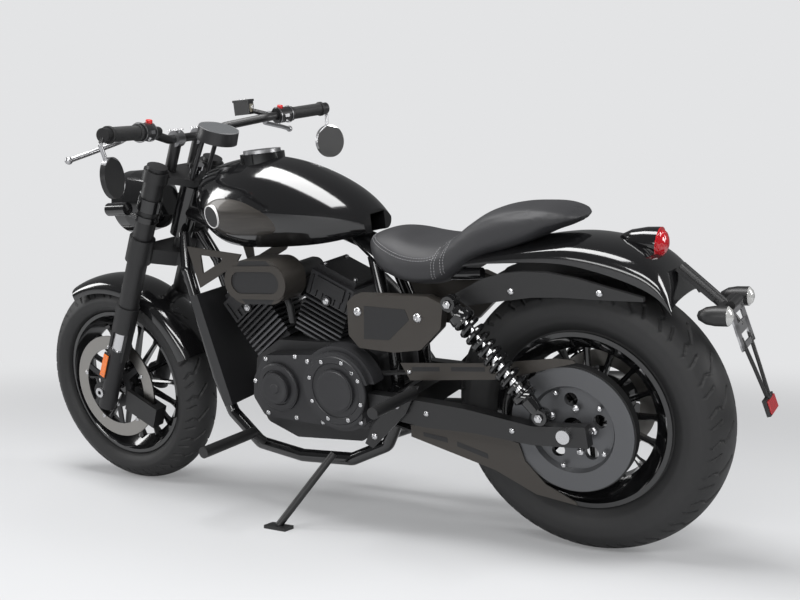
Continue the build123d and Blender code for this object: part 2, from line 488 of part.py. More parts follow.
# foot controls and pegs
FOOT_X, FOOT_Z = 855.0, 238.0
mount_arm = rod((FOOT_X, 112, 205), (FOOT_X, 150, FOOT_Z), 11)
NODES["foot_controls"] = both(rod((FOOT_X, 145, FOOT_Z), (FOOT_X, 330, FOOT_Z + 14), 14) + mount_arm) - NODES["frame"]
passenger = rod((352, SWINGARM_Y + SWINGARM_T / 2 + 8, 384), (352, 330, 392), 13)
passenger += plate([(340, 398), (364, 398), (470, 300), (500, 250), (480, 240), (380, 330)],
                   SWINGARM_Y + SWINGARM_T / 2 + 2, SWINGARM_Y + SWINGARM_T / 2 + 10)
NODES["passenger_pegs"] = both(passenger)

# tail bracket: stay, cross bar with signals and plate holder
tail = Pos(-258, 0, 586) * Rot(0, -38, 0) * Box(110, 44, 6)
tail += rod((-300, -84, 556), (-300, 84, 556), 12) + both(rod((-262, 96, 556), (-330, 96, 556), 18))
tail += Pos(-330, 0, 464) * Rot(0, 16, 0) * Box(6, 60, 210)
NODES["tail_bracket"] = tail - NODES["rear_fender"]

# ---------------------------------------------------------------- side stand
STAND_PIVOT = P(606, 148, 208)
STAND_FOOT = P(706, 268, 60)
STAND_FOLDED = P(-0.95, 0.22, 0.10)
stand_leg = (STAND_FOOT - STAND_PIVOT).normalized()
STAND_AXIS = stand_leg.cross(STAND_FOLDED).normalized()
STAND_FOLD = degrees(acos(stand_leg.dot(STAND_FOLDED.normalized())))
stand = rod(STAND_PIVOT, STAND_FOOT, 9)
foot_pad = Rot(LEAN, 0, 0) * Pos(STAND_FOOT.X, STAND_FOOT.Y * cos(radians(LEAN)) + STAND_FOOT.Z * sin(radians(LEAN)), 4)
stand += foot_pad * Box(64, 34, 8)
NODES["side_stand"] = stand

# ---------------------------------------------------------------- lean over and write
leaned = {name: Rot(-LEAN, 0, 0) * piece for name, piece in NODES.items()}
boxes = [piece.bounding_box() for piece in leaned.values()]
ORIGIN_X = (min(b.min.X for b in boxes) + max(b.max.X for b in boxes)) / 2
ORIGIN_Y = (min(b.min.Y for b in boxes) + max(b.max.Y for b in boxes)) / 2
place = Pos(-ORIGIN_X, -ORIGIN_Y, 0) * Rot(-LEAN, 0, 0)
print("origin", ORIGIN_X, ORIGIN_Y, "low", min(b.min.Z for b in boxes))
for name, piece in NODES.items():
    export_step(place * piece, f"{OUT}/{name}.step")
    print(f"{name:18s} solids {len(piece.solids()):3d}")
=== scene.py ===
"""Dresses the cruiser motorcycle: a finish for every solid, the pieces that the solids leave out, and
fuller forms for some plain ones.

Sizes in the tables are millimetres on the upright machine: X forward, Y to the rider's left, Z up,
from the ground below the rear axle.  The helpers lean them over and give Blender metres.
"""

import math

import bmesh
import bpy
import numpy as np
from bpy.props import FloatProperty, PointerProperty
from mathutils import Matrix, Vector
from mathutils.bvhtree import BVHTree


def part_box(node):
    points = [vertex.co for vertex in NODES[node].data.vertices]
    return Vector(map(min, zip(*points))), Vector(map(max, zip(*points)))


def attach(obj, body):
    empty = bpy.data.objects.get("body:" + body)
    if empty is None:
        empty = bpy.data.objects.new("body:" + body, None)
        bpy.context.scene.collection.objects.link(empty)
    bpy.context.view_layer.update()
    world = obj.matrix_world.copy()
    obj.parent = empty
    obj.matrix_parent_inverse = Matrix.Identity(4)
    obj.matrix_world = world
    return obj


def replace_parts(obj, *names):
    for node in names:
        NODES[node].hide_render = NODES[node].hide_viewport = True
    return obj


bl_info = {
    "name": "Cruiser motorcycle",
    "version": (1, 0, 0),
    "blender": (4, 5, 0),
    "location": "View3D > Sidebar > Motorcycle",
    "description": "Finishes and small parts for a cruiser motorcycle",
    "category": "Object",
}

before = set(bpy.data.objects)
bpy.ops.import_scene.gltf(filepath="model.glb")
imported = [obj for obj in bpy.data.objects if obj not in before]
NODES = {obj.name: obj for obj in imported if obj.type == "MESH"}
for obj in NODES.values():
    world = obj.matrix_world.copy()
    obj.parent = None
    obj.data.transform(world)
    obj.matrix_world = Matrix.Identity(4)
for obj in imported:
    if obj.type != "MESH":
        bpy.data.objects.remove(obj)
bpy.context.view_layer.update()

# ---------------------------------------------------------------- sizes shared with the solids
LEAN = math.radians(11.0)
TYRES = {  # outer radius, width, crown radius, rim lip radius, rim width, pitches of the tread
    "rear_tyre": (310.5, 148.0, 93.0, 198.0, 122.0, 26),
    "front_tyre": (299.0, 122.0, 62.0, 213.0, 82.0, 26),
}
RAKE = math.radians(27.2)
FORK_FWD, AXLE_FWD, FORK_Y = 37.0, 50.0, 105.0     # tubes and axle ahead of the steering axis; tubes' side
ENGINE, CYLINDER_TILTS = np.array([735.0, 0.0, 350.0]), (36, -26)
CLUTCH, STARTER = np.array([559.0, 0.0, 378.0]), np.array([762.0, 0.0, 362.0])
CLEANER, CLEANER_HALF, CLEANER_R = np.array([763, 633]), 46, 27    # (x, z), half of the straight side, radius
RADIATOR, RADIATOR_TILT = np.array([983.0, 0.0, 440.0]), 13
SHOCK_TOP, SHOCK_FOOT = np.array([237.0, 158.0, 592.0]), np.array([46.0, 158.0, 353.0])


def axle_height(tyre):
    """Height of an axle whose leaning tyre touches the ground with its round crown."""
    outer, _, crown = TYRES[tyre][:3]
    return outer + crown * (1 / math.cos(LEAN) - 1)


def middle(node):
    """Middle of a solid's box, in the row frame."""
    low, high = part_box(node)
    return (low + high) / 2


REAR_Z, FRONT_Z = axle_height("rear_tyre"), axle_height("front_tyre")
ORIGIN = np.array([-middle("rear_tyre").x * 1000, REAR_Z * math.sin(LEAN) - middle("rear_tyre").y * 1000, 0])
FRONT_X = (middle("front_tyre").x - middle("rear_tyre").x) * 1000
REAR_HUB, FRONT_HUB = np.array([0, 0, REAR_Z]), np.array([FRONT_X, 0, FRONT_Z])
SIDE, LEFT, AHEAD, BACK = np.array([0.0, 1.0, 0.0]), (0, 1, 0), (1, 0, 0), (-1, 0, 0)
FORK_OUT = np.array([math.cos(RAKE), 0, math.sin(RAKE)])     # square to the steering axis, forward
FORK_UP = np.array([-math.sin(RAKE), 0, math.cos(RAKE)])     # up the steering axis


def leaned(points):
    """Upright millimetres to metres in the row frame: turn by the lean about X, then move."""
    p = np.asarray(points, float)
    c, s = math.cos(LEAN), math.sin(LEAN)
    turned = np.stack([p[..., 0], p[..., 1] * c + p[..., 2] * s, p[..., 2] * c - p[..., 1] * s], axis=-1)
    return (turned - ORIGIN) / 1000


def upright(points):
    """The way back from leaned()."""
    p = np.asarray(points, float) * 1000 + ORIGIN
    c, s = math.cos(LEAN), math.sin(LEAN)
    return np.stack([p[..., 0], p[..., 1] * c - p[..., 2] * s, p[..., 2] * c + p[..., 1] * s], axis=-1)


def fork(fwd, side, up):
    """A point by its distance ahead of the steering axis, its side, and its height above the axle's level."""
    return FRONT_HUB + FORK_OUT * (fwd - AXLE_FWD) + SIDE * side + FORK_UP * up


def up_fork(points):
    """The way back: how high points lie above the axle's level, along the fork."""
    return (points - fork(0, 0, 0)) @ FORK_UP


FORK_TURN = np.stack([FORK_OUT, SIDE, FORK_UP], axis=1)      # columns: the fork's own forward, side and up


# ---------------------------------------------------------------- meshes from arrays
def add_mesh(name, verts, faces, finish_name, body, smooth=40.0, weld=True):
    """Makes one piece from upright points and faces, and hangs it on a body."""
    mesh = bpy.data.meshes.new(name)
    mesh.from_pydata(leaned(verts).tolist(), [], [list(f) for f in faces])
    if weld:
        work = bmesh.new()
        work.from_mesh(mesh)
        bmesh.ops.remove_doubles(work, verts=work.verts, dist=2e-6)
        bmesh.ops.dissolve_degenerate(work, edges=work.edges, dist=1e-6)
        bmesh.ops.recalc_face_normals(work, faces=work.faces)
        work.to_mesh(mesh)
        work.free()
    mesh.materials.append(finish(finish_name))
    if smooth:
        mesh.shade_smooth()
        mesh.set_sharp_from_angle(angle=math.radians(smooth))
    piece = bpy.data.objects.new(name, mesh)
    bpy.context.scene.collection.objects.link(piece)
    if body:
        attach(piece, body)
    return piece


def grid_faces(rows, cols, wrap_rows=True, wrap_cols=False):
    """Quads of a grid of points numbered row by row."""
    i = np.arange(rows if wrap_rows else rows - 1)[:, None]
    j = np.arange(cols if wrap_cols else cols - 1)[None, :]
    a, b = i * cols + j, i * cols + (j + 1) % cols
    c, d = ((i + 1) % rows) * cols + (j + 1) % cols, ((i + 1) % rows) * cols + j
    return np.stack([a, b, c, d], axis=-1).reshape(-1, 4)


def read(items, key):
    """A vector of every item of a mesh, such as each vertex's place, as rows."""
    flat = np.empty(len(items) * 3)
    items.foreach_get(key, flat)
    return flat.reshape(-1, 3)


def unit(direction):
    """A direction at length 1."""
    return np.asarray(direction, float) / np.linalg.norm(direction)


def basis(along):
    """Two unit vectors square to a direction, and the direction's own."""
    w = unit(along)
    helper = np.array([0.0, 0.0, 1.0]) if abs(w[2]) < 0.9 else np.array([1.0, 0.0, 0.0])
    u = unit(np.cross(helper, w))
    return u, np.cross(w, u), w


def circle(u, v, t):
    """u cos t + v sin t, one row for each angle t."""
    return np.cos(t)[:, None] * u + np.sin(t)[:, None] * v


def lathe(profile, origin, along, around=40):
    """A turned form: point = origin + along * a + radius * (u cos t + v sin t) for each (a, radius) row."""
    rows = np.asarray(profile, float)
    u, v, w = basis(along)
    ring = circle(u, v, np.linspace(0, 2 * math.pi, around, endpoint=False))
    points = np.asarray(origin, float) + rows[None, :, :1] * w + rows[None, :, 1:] * ring[:, None, :]
    return points.reshape(-1, 3), grid_faces(around, len(rows))


def tube(path, radius, around=12):
    """A round bar along a path: each ring is square to the local direction, carried along without twist."""
    p = np.asarray(path, float)
    way = np.gradient(p, axis=0)
    way /= np.linalg.norm(way, axis=1)[:, None]
    u, rings = basis(way[0])[0], []
    t = np.linspace(0, 2 * math.pi, around, endpoint=False)
    radii = np.broadcast_to(radius, len(p))
    for spot, w, r in zip(p, way, radii):
        u = unit(u - w * (u @ w))
        rings.append(spot + r * circle(u, np.cross(w, u), t))
    points = np.concatenate([[p[0]] * around, *rings, [p[-1]] * around]).reshape(-1, 3)
    return points, grid_faces(len(p) + 2, around, wrap_rows=False, wrap_cols=True)


def rounded(points, bend, steps=6):
    """A path through corner points, with each corner swapped for the quadratic arc
    (1 - t)^2 start + 2 t (1 - t) corner + t^2 stop, which starts `bend` before it."""
    p = [np.asarray(q, float) for q in points]
    out = [p[0]]
    for a, b, c in zip(p, p[1:], p[2:]):
        near = min(bend, np.linalg.norm(b - a) * 0.45, np.linalg.norm(c - b) * 0.45)
        start, stop = b + unit(a - b) * near, b + unit(c - b) * near
        t = np.linspace(0, 1, steps)[:, None]
        out.extend((1 - t) ** 2 * start + 2 * t * (1 - t) * b + t ** 2 * stop)
    out.append(p[-1])
    return np.array(out)


def box_mesh(size, spot, turn=None):
    """A block of a given size about a spot, turned by a 3x3 matrix."""
    signs = np.array([[x, y, z] for x in (-1, 1) for y in (-1, 1) for z in (-1, 1)], float)
    p = signs * np.asarray(size, float) / 2
    if turn is not None:
        p = p @ np.asarray(turn).T
    faces = [(0, 1, 3, 2), (4, 6, 7, 5), (0, 4, 5, 1), (2, 3, 7, 6), (0, 2, 6, 4), (1, 5, 7, 3)]
    return p + np.asarray(spot, float), faces


def turn_z(degrees):
    """The matrix of a turn about Z."""
    c, s = math.cos(math.radians(degrees)), math.sin(math.radians(degrees))
    return np.array([[c, -s, 0], [s, c, 0], [0, 0, 1]])


def turn_y(degrees):
    """The matrix of a turn about Y."""
    c, s = math.cos(math.radians(degrees)), math.sin(math.radians(degrees))
    return np.array([[c, 0, s], [0, 1, 0], [-s, 0, c]])


def slab(outline, low, high):
    """A plate drawn in the side view as (x, z) rows, between two distances across the machine."""
    n = len(outline)
    points = np.array([(x, y, z) for y in (low, high) for x, z in outline], float)
    sides = [(i, (i + 1) % n, n + (i + 1) % n, n + i) for i in range(n)]
    return points, [list(range(n))[::-1], list(range(n, 2 * n)), *sides]


def window_slab(outline, hole, low, high):
    """A plate with one hole that has as many corners as its outline."""
    n = len(outline)
    points = np.array([(x, y, z) for y in (low, high) for ring in (outline, hole) for x, z in ring], float)
    faces = []
    for i in range(n):
        j = (i + 1) % n
        faces += [(i, j, n + j, n + i), (2 * n + i, 3 * n + i, 3 * n + j, 2 * n + j),
                  (i, 2 * n + i, 2 * n + j, j), (n + i, n + j, 3 * n + j, 3 * n + i)]
    return points, faces


def mirrored(shape):
    """A shape and its copy on the other side of the machine."""
    points, faces = shape
    return together([(points, faces), (np.asarray(points) * [1, -1, 1], faces)])


def upright_skin(spot, normal):
    """Spots and the directions of a skin there, from the row frame to the upright one."""
    spot, normal = np.array(spot), np.array(normal)
    return upright(spot), upright(spot + normal / 1000) - upright(spot)


SKINS = {}       # node: the tree of its faces, made once
CLEAR_OF_ALL = 300.0


def skin_spot(node, x, z, side=1):
    """Where a line across the machine first meets a solid's skin, and the skin's direction there."""
    if node not in SKINS:
        SKINS[node] = BVHTree.FromObject(NODES[node], bpy.context.evaluated_depsgraph_get())
    start, stop = leaned((x, CLEAR_OF_ALL * side, z)), leaned((x, 0, z))
    spot, normal, _, _ = SKINS[node].ray_cast(Vector(start), Vector(stop - start).normalized())
    if spot is None:
        raise RuntimeError("no skin of %s at %s, %s" % (node, x, z))
    return upright_skin(spot, normal)


def together(pieces):
    """Joins (points, faces) pairs into one."""
    verts, faces, count = [], [], 0
    for points, polys in pieces:
        verts.append(np.asarray(points))
        faces.extend([[int(i) + count for i in f] for f in polys])
        count += len(points)
    return np.concatenate(verts), faces


def smooth_rows(rows, count):
    """Rows of a table carried to `count` rows by Catmull-Rom curves, evenly in the row number."""
    rows = np.asarray(rows, float)
    padded = np.vstack([2 * rows[0] - rows[1], rows, 2 * rows[-1] - rows[-2]])
    t = np.linspace(0, len(rows) - 1 - 1e-9, count)
    i, f = t.astype(int), (t % 1)[:, None]
    a, b, c, d = (padded[i + k] for k in range(4))
    squares, cubes = (2 * a - 5 * b + 4 * c - d) * f ** 2, (3 * b - a - 3 * c + d) * f ** 3
    return 0.5 * (2 * b + (c - a) * f + squares + cubes)


# ---------------------------------------------------------------- shader maths
class Wire:
    """A socket that Python's operators work on: each operation adds its Math node."""

    def __init__(self, owner, socket):
        self.owner, self.socket = owner, socket

    def _math(self, operation, *others, swap=False):
        args = [self, *others]
        if swap:
            args.reverse()
        return self.owner.add("ShaderNodeMath", {"operation": operation}, dict(enumerate(args)))

    def __add__(self, other):
        return self._math("ADD", other)

    __radd__ = __add__

    def __sub__(self, other):
        return self._math("SUBTRACT", other)

    def __rsub__(self, other):
        return self._math("SUBTRACT", other, swap=True)

    def __mul__(self, other):
        return self._math("MULTIPLY", other)

    __rmul__ = __mul__

    def __pow__(self, other):
        return self._math("POWER", other)

    def __rpow__(self, other):
        return self._math("POWER", other, swap=True)

    def part(self, index):
        """X, Y or Z of a vector socket."""
        return self.owner.add("ShaderNodeSeparateXYZ", {}, {0: self}, output=index)


MIX_DARK, MIX_LIGHT, MIX_COLOR = 6, 7, 2     # the sockets of a Mix node that carry colours


class Finish:
    """One material: its node tree, and the Principled shader that everything feeds."""

    def __init__(self, name, color, roughness, metallic=0.0, coat=0.0, **fixed):
        self.material = bpy.data.materials.new(name)
        self.material.use_nodes = True
        self.tree = self.material.node_tree
        self.shader = self.tree.nodes["Principled BSDF"]
        values = {"Base Color": (*color, 1.0), "Roughness": roughness, "Metallic": metallic,
                  "Coat Weight": coat, "Coat Roughness": 0.03, **fixed}
        for socket, value in values.items():
            self.shader.inputs[socket].default_value = value

    def add(self, kind, settings=None, inputs=None, output=0):
        """Adds a node: its settings first, then the values or links of its sockets."""
        node = self.tree.nodes.new(kind)
        for key, value in (settings or {}).items():
            setattr(node, key, value)
        for key, value in (inputs or {}).items():
            if isinstance(value, Wire):
                self.tree.links.new(value.socket, node.inputs[key])
            else:
                node.inputs[key].default_value = value
        return Wire(self, node.outputs[output])

    def place(self, stretch=(1, 1, 1)):
        """The point in the object's own metres, stretched along each axis."""
        spot = self.add("ShaderNodeTexCoord", output="Object")
        if stretch == (1, 1, 1):
            return spot
        return self.add("ShaderNodeVectorMath", {"operation": "MULTIPLY"}, {0: spot, 1: stretch})

    def noise(self, scale, detail=3.0, stretch=(1, 1, 1)):
        """Soft noise from 0 to 1 over the stretched place."""
        values = {"Vector": self.place(stretch), "Scale": scale, "Detail": detail}
        return self.add("ShaderNodeTexNoise", {}, values)

    def feed(self, socket, wire):
        """Links a value to the Principled shader."""
        self.tree.links.new(wire.socket, self.shader.inputs[socket])
        return self

    def shade(self, factor, dark, light):
        """Base colour between two colours."""
        values = {"Factor": factor, MIX_DARK: (*dark, 1), MIX_LIGHT: (*light, 1)}
        mix = self.add("ShaderNodeMix", {"data_type": "RGBA"}, values, output=MIX_COLOR)
        return self.feed("Base Color", mix)

    def bump(self, height, strength, distance):
        """Relief: a height from 0 to 1 over a distance in metres."""
        normal = self.add("ShaderNodeBump", {}, {"Height": height, "Strength": strength, "Distance": distance})
        return self.feed("Normal", normal)


GRAIN_SCALE, GRAIN_DEPTH = 900.0, 0.0003

# name: (colour, roughness, metallic, coat, roughness spread, spread scale, grain bump)
FINISHES = {
    "gloss_black": ((0.006, 0.006, 0.0065), 0.12, 0.0, 0.6, 0.04, 5.0, 0),
    "satin_black": ((0.010, 0.010, 0.0105), 0.42, 0.0, 0.0, 0.10, 30.0, 0.05),
    "charcoal_metal": ((0.022, 0.022, 0.024), 0.46, 0.2, 0.0, 0.10, 60.0, 0.12),
    "cast_black": ((0.011, 0.011, 0.012), 0.50, 0.1, 0.0, 0.12, 60.0, 0.15),
    "fin_edge": ((0.10, 0.10, 0.105), 0.36, 0.8, 0.0, 0.10, 70.0, 0),
    "bronze_metal": ((0.050, 0.045, 0.040), 0.40, 0.45, 0.0, 0.08, 30.0, 0.05),
    "bright_metal": ((0.60, 0.60, 0.61), 0.20, 1.0, 0.0, 0.10, 70.0, 0),
    "satin_alloy": ((0.42, 0.42, 0.43), 0.34, 1.0, 0.0, 0.10, 70.0, 0),
    "chrome": ((0.72, 0.72, 0.73), 0.06, 1.0, 0.0, 0.03, 40.0, 0),
    "disc_steel": ((0.30, 0.29, 0.275), 0.32, 1.0, 0.0, 0.12, 90.0, 0),
    "zinc_steel": ((0.55, 0.55, 0.56), 0.28, 1.0, 0.0, 0.16, 120.0, 0),
    "pulley_grey": ((0.095, 0.097, 0.102), 0.40, 0.5, 0.0, 0.08, 50.0, 0.05),
    "tyre_rubber": ((0.014, 0.014, 0.0145), 0.62, 0.0, 0.0, 0.12, 70.0, 0.2),
    "grip_rubber": ((0.012, 0.012, 0.0125), 0.55, 0.0, 0.0, 0.10, 90.0, 0.15),
    "black_plastic": ((0.013, 0.013, 0.014), 0.38, 0.0, 0.0, 0.10, 60.0, 0.1),
    "red_lens": ((0.42, 0.006, 0.012), 0.10, 0.0, 0.8, 0.02, 10.0, 0),
    "red_button": ((0.55, 0.02, 0.02), 0.35, 0.0, 0.2, 0.04, 30.0, 0),
    "amber_lens": ((0.80, 0.17, 0.01), 0.14, 0.0, 0.8, 0.02, 10.0, 0),
    "white_print": ((0.75, 0.75, 0.75), 0.35, 0.0, 0.2, 0.04, 30.0, 0),
    "mirror_glass": ((0.42, 0.43, 0.44), 0.03, 1.0, 0.0, 0.01, 10.0, 0),
    "gauge_glass": ((0.11, 0.115, 0.12), 0.08, 0.0, 1.0, 0.01, 10.0, 0),
    "stitch_thread": ((0.30, 0.30, 0.31), 0.6, 0.0, 0.0, 0.1, 200.0, 0),
    "pale_lens": ((0.46, 0.46, 0.45), 0.10, 0.2, 0.8, 0.02, 10.0, 0),
    "sight_window": ((0.34, 0.31, 0.24), 0.12, 0.0, 0.8, 0.02, 10.0, 0),
    "bezel_grey": ((0.22, 0.22, 0.225), 0.32, 0.3, 0.0, 0.05, 40.0, 0),
    "reflector_silver": ((0.80, 0.80, 0.80), 0.09, 1.0, 0.0, 0.02, 10.0, 0),
}
made = {}


def finish(name):
    """The finish of that name, made once."""
    if name not in made:
        if name in SPECIAL:
            made[name] = SPECIAL[name]()
        else:
            color, rough, metal, coat, spread, scale, grain = FINISHES[name]
            made[name] = Finish(name, color, rough, metal, coat)
            made[name].feed("Roughness", rough + (made[name].noise(scale) - 0.5) * spread)
            if grain:
                made[name].bump(made[name].noise(GRAIN_SCALE, 2.0), grain, GRAIN_DEPTH)
    return made[name].material


def brushed_panel():
    """Bronze with long streaks along the tank: two noises, stretched lengthwise, mix two tones."""
    made_finish = Finish("brushed_bronze", (0.09, 0.075, 0.06), 0.4, 0.5, 0.3)
    streak = made_finish.noise(30.0, 3.0, (0.5, 2.0, 7.0))
    fine = made_finish.noise(90.0, 2.0, (0.25, 2.0, 12.0))
    tone = 0.5 + (streak - 0.5) * 0.9 + (fine - 0.5) * 0.5
    made_finish.shade(tone, (0.020, 0.018, 0.016), (0.060, 0.053, 0.046))
    return made_finish.feed("Roughness", 0.34 + fine * 0.12)


def leatherette():
    """Fine grain from Voronoi cells, and a slow change of tone and gloss over the seat."""
    made_finish = Finish("leatherette", (0.03, 0.03, 0.033), 0.55, 0.0, 0.0)
    cells = made_finish.add("ShaderNodeTexVoronoi", {}, {"Vector": made_finish.place(), "Scale": 750.0})
    slow = made_finish.noise(9.0, 2.0)
    made_finish.shade(slow * 0.6 + cells * 0.4, (0.013, 0.013, 0.0145), (0.027, 0.027, 0.030))
    made_finish.feed("Roughness", 0.5 + slow * 0.16)
    return made_finish.bump(cells, 0.25, GRAIN_DEPTH)


def clear_glass():
    """Thin clear cover: mostly see-through with a clean gloss."""
    return Finish("clear_glass", (0.9, 0.92, 0.94), 0.05, 0.0, 0.0, Alpha=0.25, IOR=1.45)


SPECIAL = {"brushed_bronze": brushed_panel, "leatherette": leatherette, "clear_glass": clear_glass}

# a place and a direction each
TAIL_LAMP, TAIL_WAY = np.array([-88.0, 0.0, 699.0]), -turn_y(-8)[:, 0]
BAR_END, BAR_OUT = np.array([FRONT_X - 499.0, 405.0, 1018.0]), np.array([-0.21473, 0.97604, 0.02928])
GAUGE, GAUGE_UP = BAR_END + [41, -405, -33], turn_y(-22)[:, 2]
MIRROR, MIRROR_WAY = BAR_END + [-10, 14, -98], (0.94, 0.34, 0)

# node: finish; what isn't named here is satin black
NODE_FINISH = {
    "rear_tyre": "tyre_rubber", "front_tyre": "tyre_rubber", "rear_rim": "gloss_black",
    "front_rim": "gloss_black", "front_disc": "disc_steel", "rear_disc": "disc_steel",
    "rear_pulley": "pulley_grey", "rear_axle": "zinc_steel", "front_axle": "zinc_steel",
    "fork_sliders": "bright_metal", "grips": "grip_rubber",
    "hand_controls": "black_plastic", "gauge": "black_plastic", "headlamp": "gloss_black",
    "headlamp_lens": "clear_glass", "front_fender": "gloss_black", "engine_block": "cast_black",
    "cylinders": "charcoal_metal", "engine_covers": "charcoal_metal", "air_cleaner": "bronze_metal",
    "radiator": "black_plastic", "fuel_tank": "gloss_black", "seat": "leatherette",
    "side_covers": "bronze_metal", "rear_fender": "gloss_black",
    "drive_belt": "grip_rubber", "belt_guards": "bronze_metal", "fuel_cap": "satin_alloy",
    "frame": "gloss_black", "front_signals": "gloss_black",
}


def paint(node, finish_names, choose):
    """Sets a finish for each face of a CAD piece: `choose` gives its number from the face's upright middle."""
    mesh = NODES[node].data
    picks = np.asarray(choose(upright(read(mesh.polygons, "center"))), dtype=np.int32)
    mesh.materials.clear()
    for name in finish_names:
        mesh.materials.append(finish(name))
    mesh.polygons.foreach_set("material_index", picks)


def off_axis(points, spot, along):
    """Distance of points from a line, and their place along it."""
    _, _, w = basis(along)
    rel = points - np.asarray(spot, float)
    run = rel @ w
    return np.linalg.norm(rel - run[:, None] * w, axis=1), run


class MOTO_OT_finishes(bpy.types.Operator):
    """Gives every solid its finish, by face where one solid shows two metals"""

    bl_idname = "moto.finishes"
    bl_label = "Finishes"

    def execute(self, context):
        for name, solid in NODES.items():
            solid.data.materials.clear()
            solid.data.materials.append(finish(NODE_FINISH.get(name, "satin_black")))
        for node, hub, carrier in (("front_disc", FRONT_HUB, 112.5), ("rear_disc", REAR_HUB, 82.5)):
            paint(node, ["disc_steel", "cast_black"], lambda p: off_axis(p, hub, SIDE)[0] < carrier)
        paint("fork_clamps", ["satin_black", "chrome"],
              lambda p: (off_axis(p, fork(0, 0, 0), FORK_UP)[0] < 20) & (up_fork(p) > 690))
        tube_foot = fork(FORK_FWD, FORK_Y, 0)
        paint("fork_tubes", ["satin_black", "chrome"],
              lambda p: (off_axis(np.abs(p), tube_foot, FORK_UP)[0] < 18.5) & (up_fork(p) > 706.5))
        paint("hand_controls", ["black_plastic", "satin_alloy"],
              lambda p: (p[:, 0] > 984) & (np.abs(p[:, 1]) > 240) & (p[:, 2] < 1030))
        paint("fuel_cap", ["satin_alloy", "chrome"],
              lambda p: off_axis(p, (825, 0, 0), (0, 0, 1))[0] < 33)
        paint("handlebar", ["satin_black", "satin_alloy"],
              lambda p: (np.abs(np.abs(p[:, 1]) - 42) < 16.9) & (off_axis(p, (1066, 0, 985), SIDE)[0] > 11.5)
              & (p[:, 2] > 965))
        paint("front_signals", ["gloss_black", "pale_lens"],
              lambda p: (p[:, 0] > 1220.5) & (np.abs(p[:, 1]) > 130))
        paint("fork_sliders", ["cast_black", "bright_metal"], lambda p: up_fork(p) > 124)
        paint("gauge", ["black_plastic", "gauge_glass", "bezel_grey"], self.gauge)
        paint("mirrors", ["satin_black", "mirror_glass", "chrome", "satin_alloy"], self.mirrors)
        paint("air_cleaner", ["bronze_metal", "cast_black"], self.cleaner)
        paint("cylinders", ["charcoal_metal", "fin_edge"], self.fins)
        return {"FINISHED"}

    @staticmethod
    def cleaner(p):
        """The face's dark panel: a straight stretch with round ends."""
        past = np.maximum(np.abs(p[:, 0] - CLEANER[0]) - CLEANER_HALF, 0)
        return (np.hypot(past, p[:, 2] - CLEANER[1]) < CLEANER_R + 0.5) & (p[:, 1] > 162)

    @staticmethod
    def gauge(p):
        """1 on the dial's glass, 2 on the ring round it."""
        far, run = off_axis(p, GAUGE, GAUGE_UP)
        return np.where((run > 11.9) & (far < 45), 1, np.where((run > 7.5) & (far > 45) & (far < 56), 2, 0))

    @staticmethod
    def mirrors(p):
        """1 on the glass, 2 on its rim, 3 on the arm; both sides are read on the left one."""
        q = p.copy()
        q[:, 1] = np.abs(q[:, 1])
        far, run = off_axis(q, MIRROR, MIRROR_WAY)
        head = (far < 47) & (run > -9) & (run < 15)
        glass, rim = head & (run < -7.8) & (far < 42.5), head & (run < -4) & (far >= 42.5)
        arm = ~head & (off_axis(q, BAR_END, BAR_OUT)[0] > 16.5)
        return np.where(glass, 1, np.where(rim, 2, np.where(arm, 3, 0)))

    @staticmethod
    def fins(p):
        """The machined rims of the fins, told by how far they stand out of each cylinder's own box."""
        rim = np.zeros(len(p), bool)
        for tilt in CYLINDER_TILTS:
            side, across, up = ((p - ENGINE) @ turn_y(tilt)).T
            fins = (up > 118) & (up < 182) & (np.abs(side) < 63.5)
            rim |= fins & ((np.abs(across) > 68.6) | (np.abs(side) > 62.6))
        return rim.astype(int)


# ---------------------------------------------------------------- tyres
def arc3(a, b, c, count):
    """Points on the circle through three points of a plane; its centre is as far from each of them."""
    (ax, ay), (bx, by), (cx, cy) = a, b, c
    aa, bb, cc = ax ** 2 + ay ** 2, bx ** 2 + by ** 2, cx ** 2 + cy ** 2
    d = 2 * (ax * (by - cy) + bx * (cy - ay) + cx * (ay - by))
    ux = (aa * (by - cy) + bb * (cy - ay) + cc * (ay - by)) / d
    uy = (aa * (cx - bx) + bb * (ax - cx) + cc * (bx - ax)) / d
    start, stop = math.atan2(ay - uy, ax - ux), math.atan2(cy - uy, cx - ux)
    t = np.linspace(start, stop, count)
    r = math.hypot(ax - ux, ay - uy)
    return np.stack([ux + r * np.cos(t), uy + r * np.sin(t)], axis=1)


def near_lines(u, s, lines, pitch):
    """Distance from each (u, s) to a set of broken lines that repeats every pitch along u."""
    best = np.full(u.shape, 1e9)
    for line in lines:
        for (u0, s0), (u1, s1) in zip(line, line[1:]):
            mid = (u0 + u1) / 2
            du = (u - mid + pitch / 2) % pitch - pitch / 2 + mid - u0
            ds = s - s0
            eu, es = u1 - u0, s1 - s0
            k = np.clip((du * eu + ds * es) / (eu * eu + es * es), 0, 1)
            best = np.minimum(best, np.hypot(du - k * eu, ds - k * es))
    return best


# grooves of one pitch: (share of the pitch round the tyre, share of the half tread across)
GROOVES = [[(0.00, 0.98), (0.22, 0.74), (0.16, 0.56), (0.62, 0.16)],
           [(0.62, 0.98), (0.80, 0.66)],
           [(0.50, -0.98), (0.72, -0.74), (0.66, -0.56), (1.12, -0.16)],
           [(0.12, -0.98), (0.30, -0.66)]]


AROUND_TYRE, TREAD_COLUMNS = 720, 75


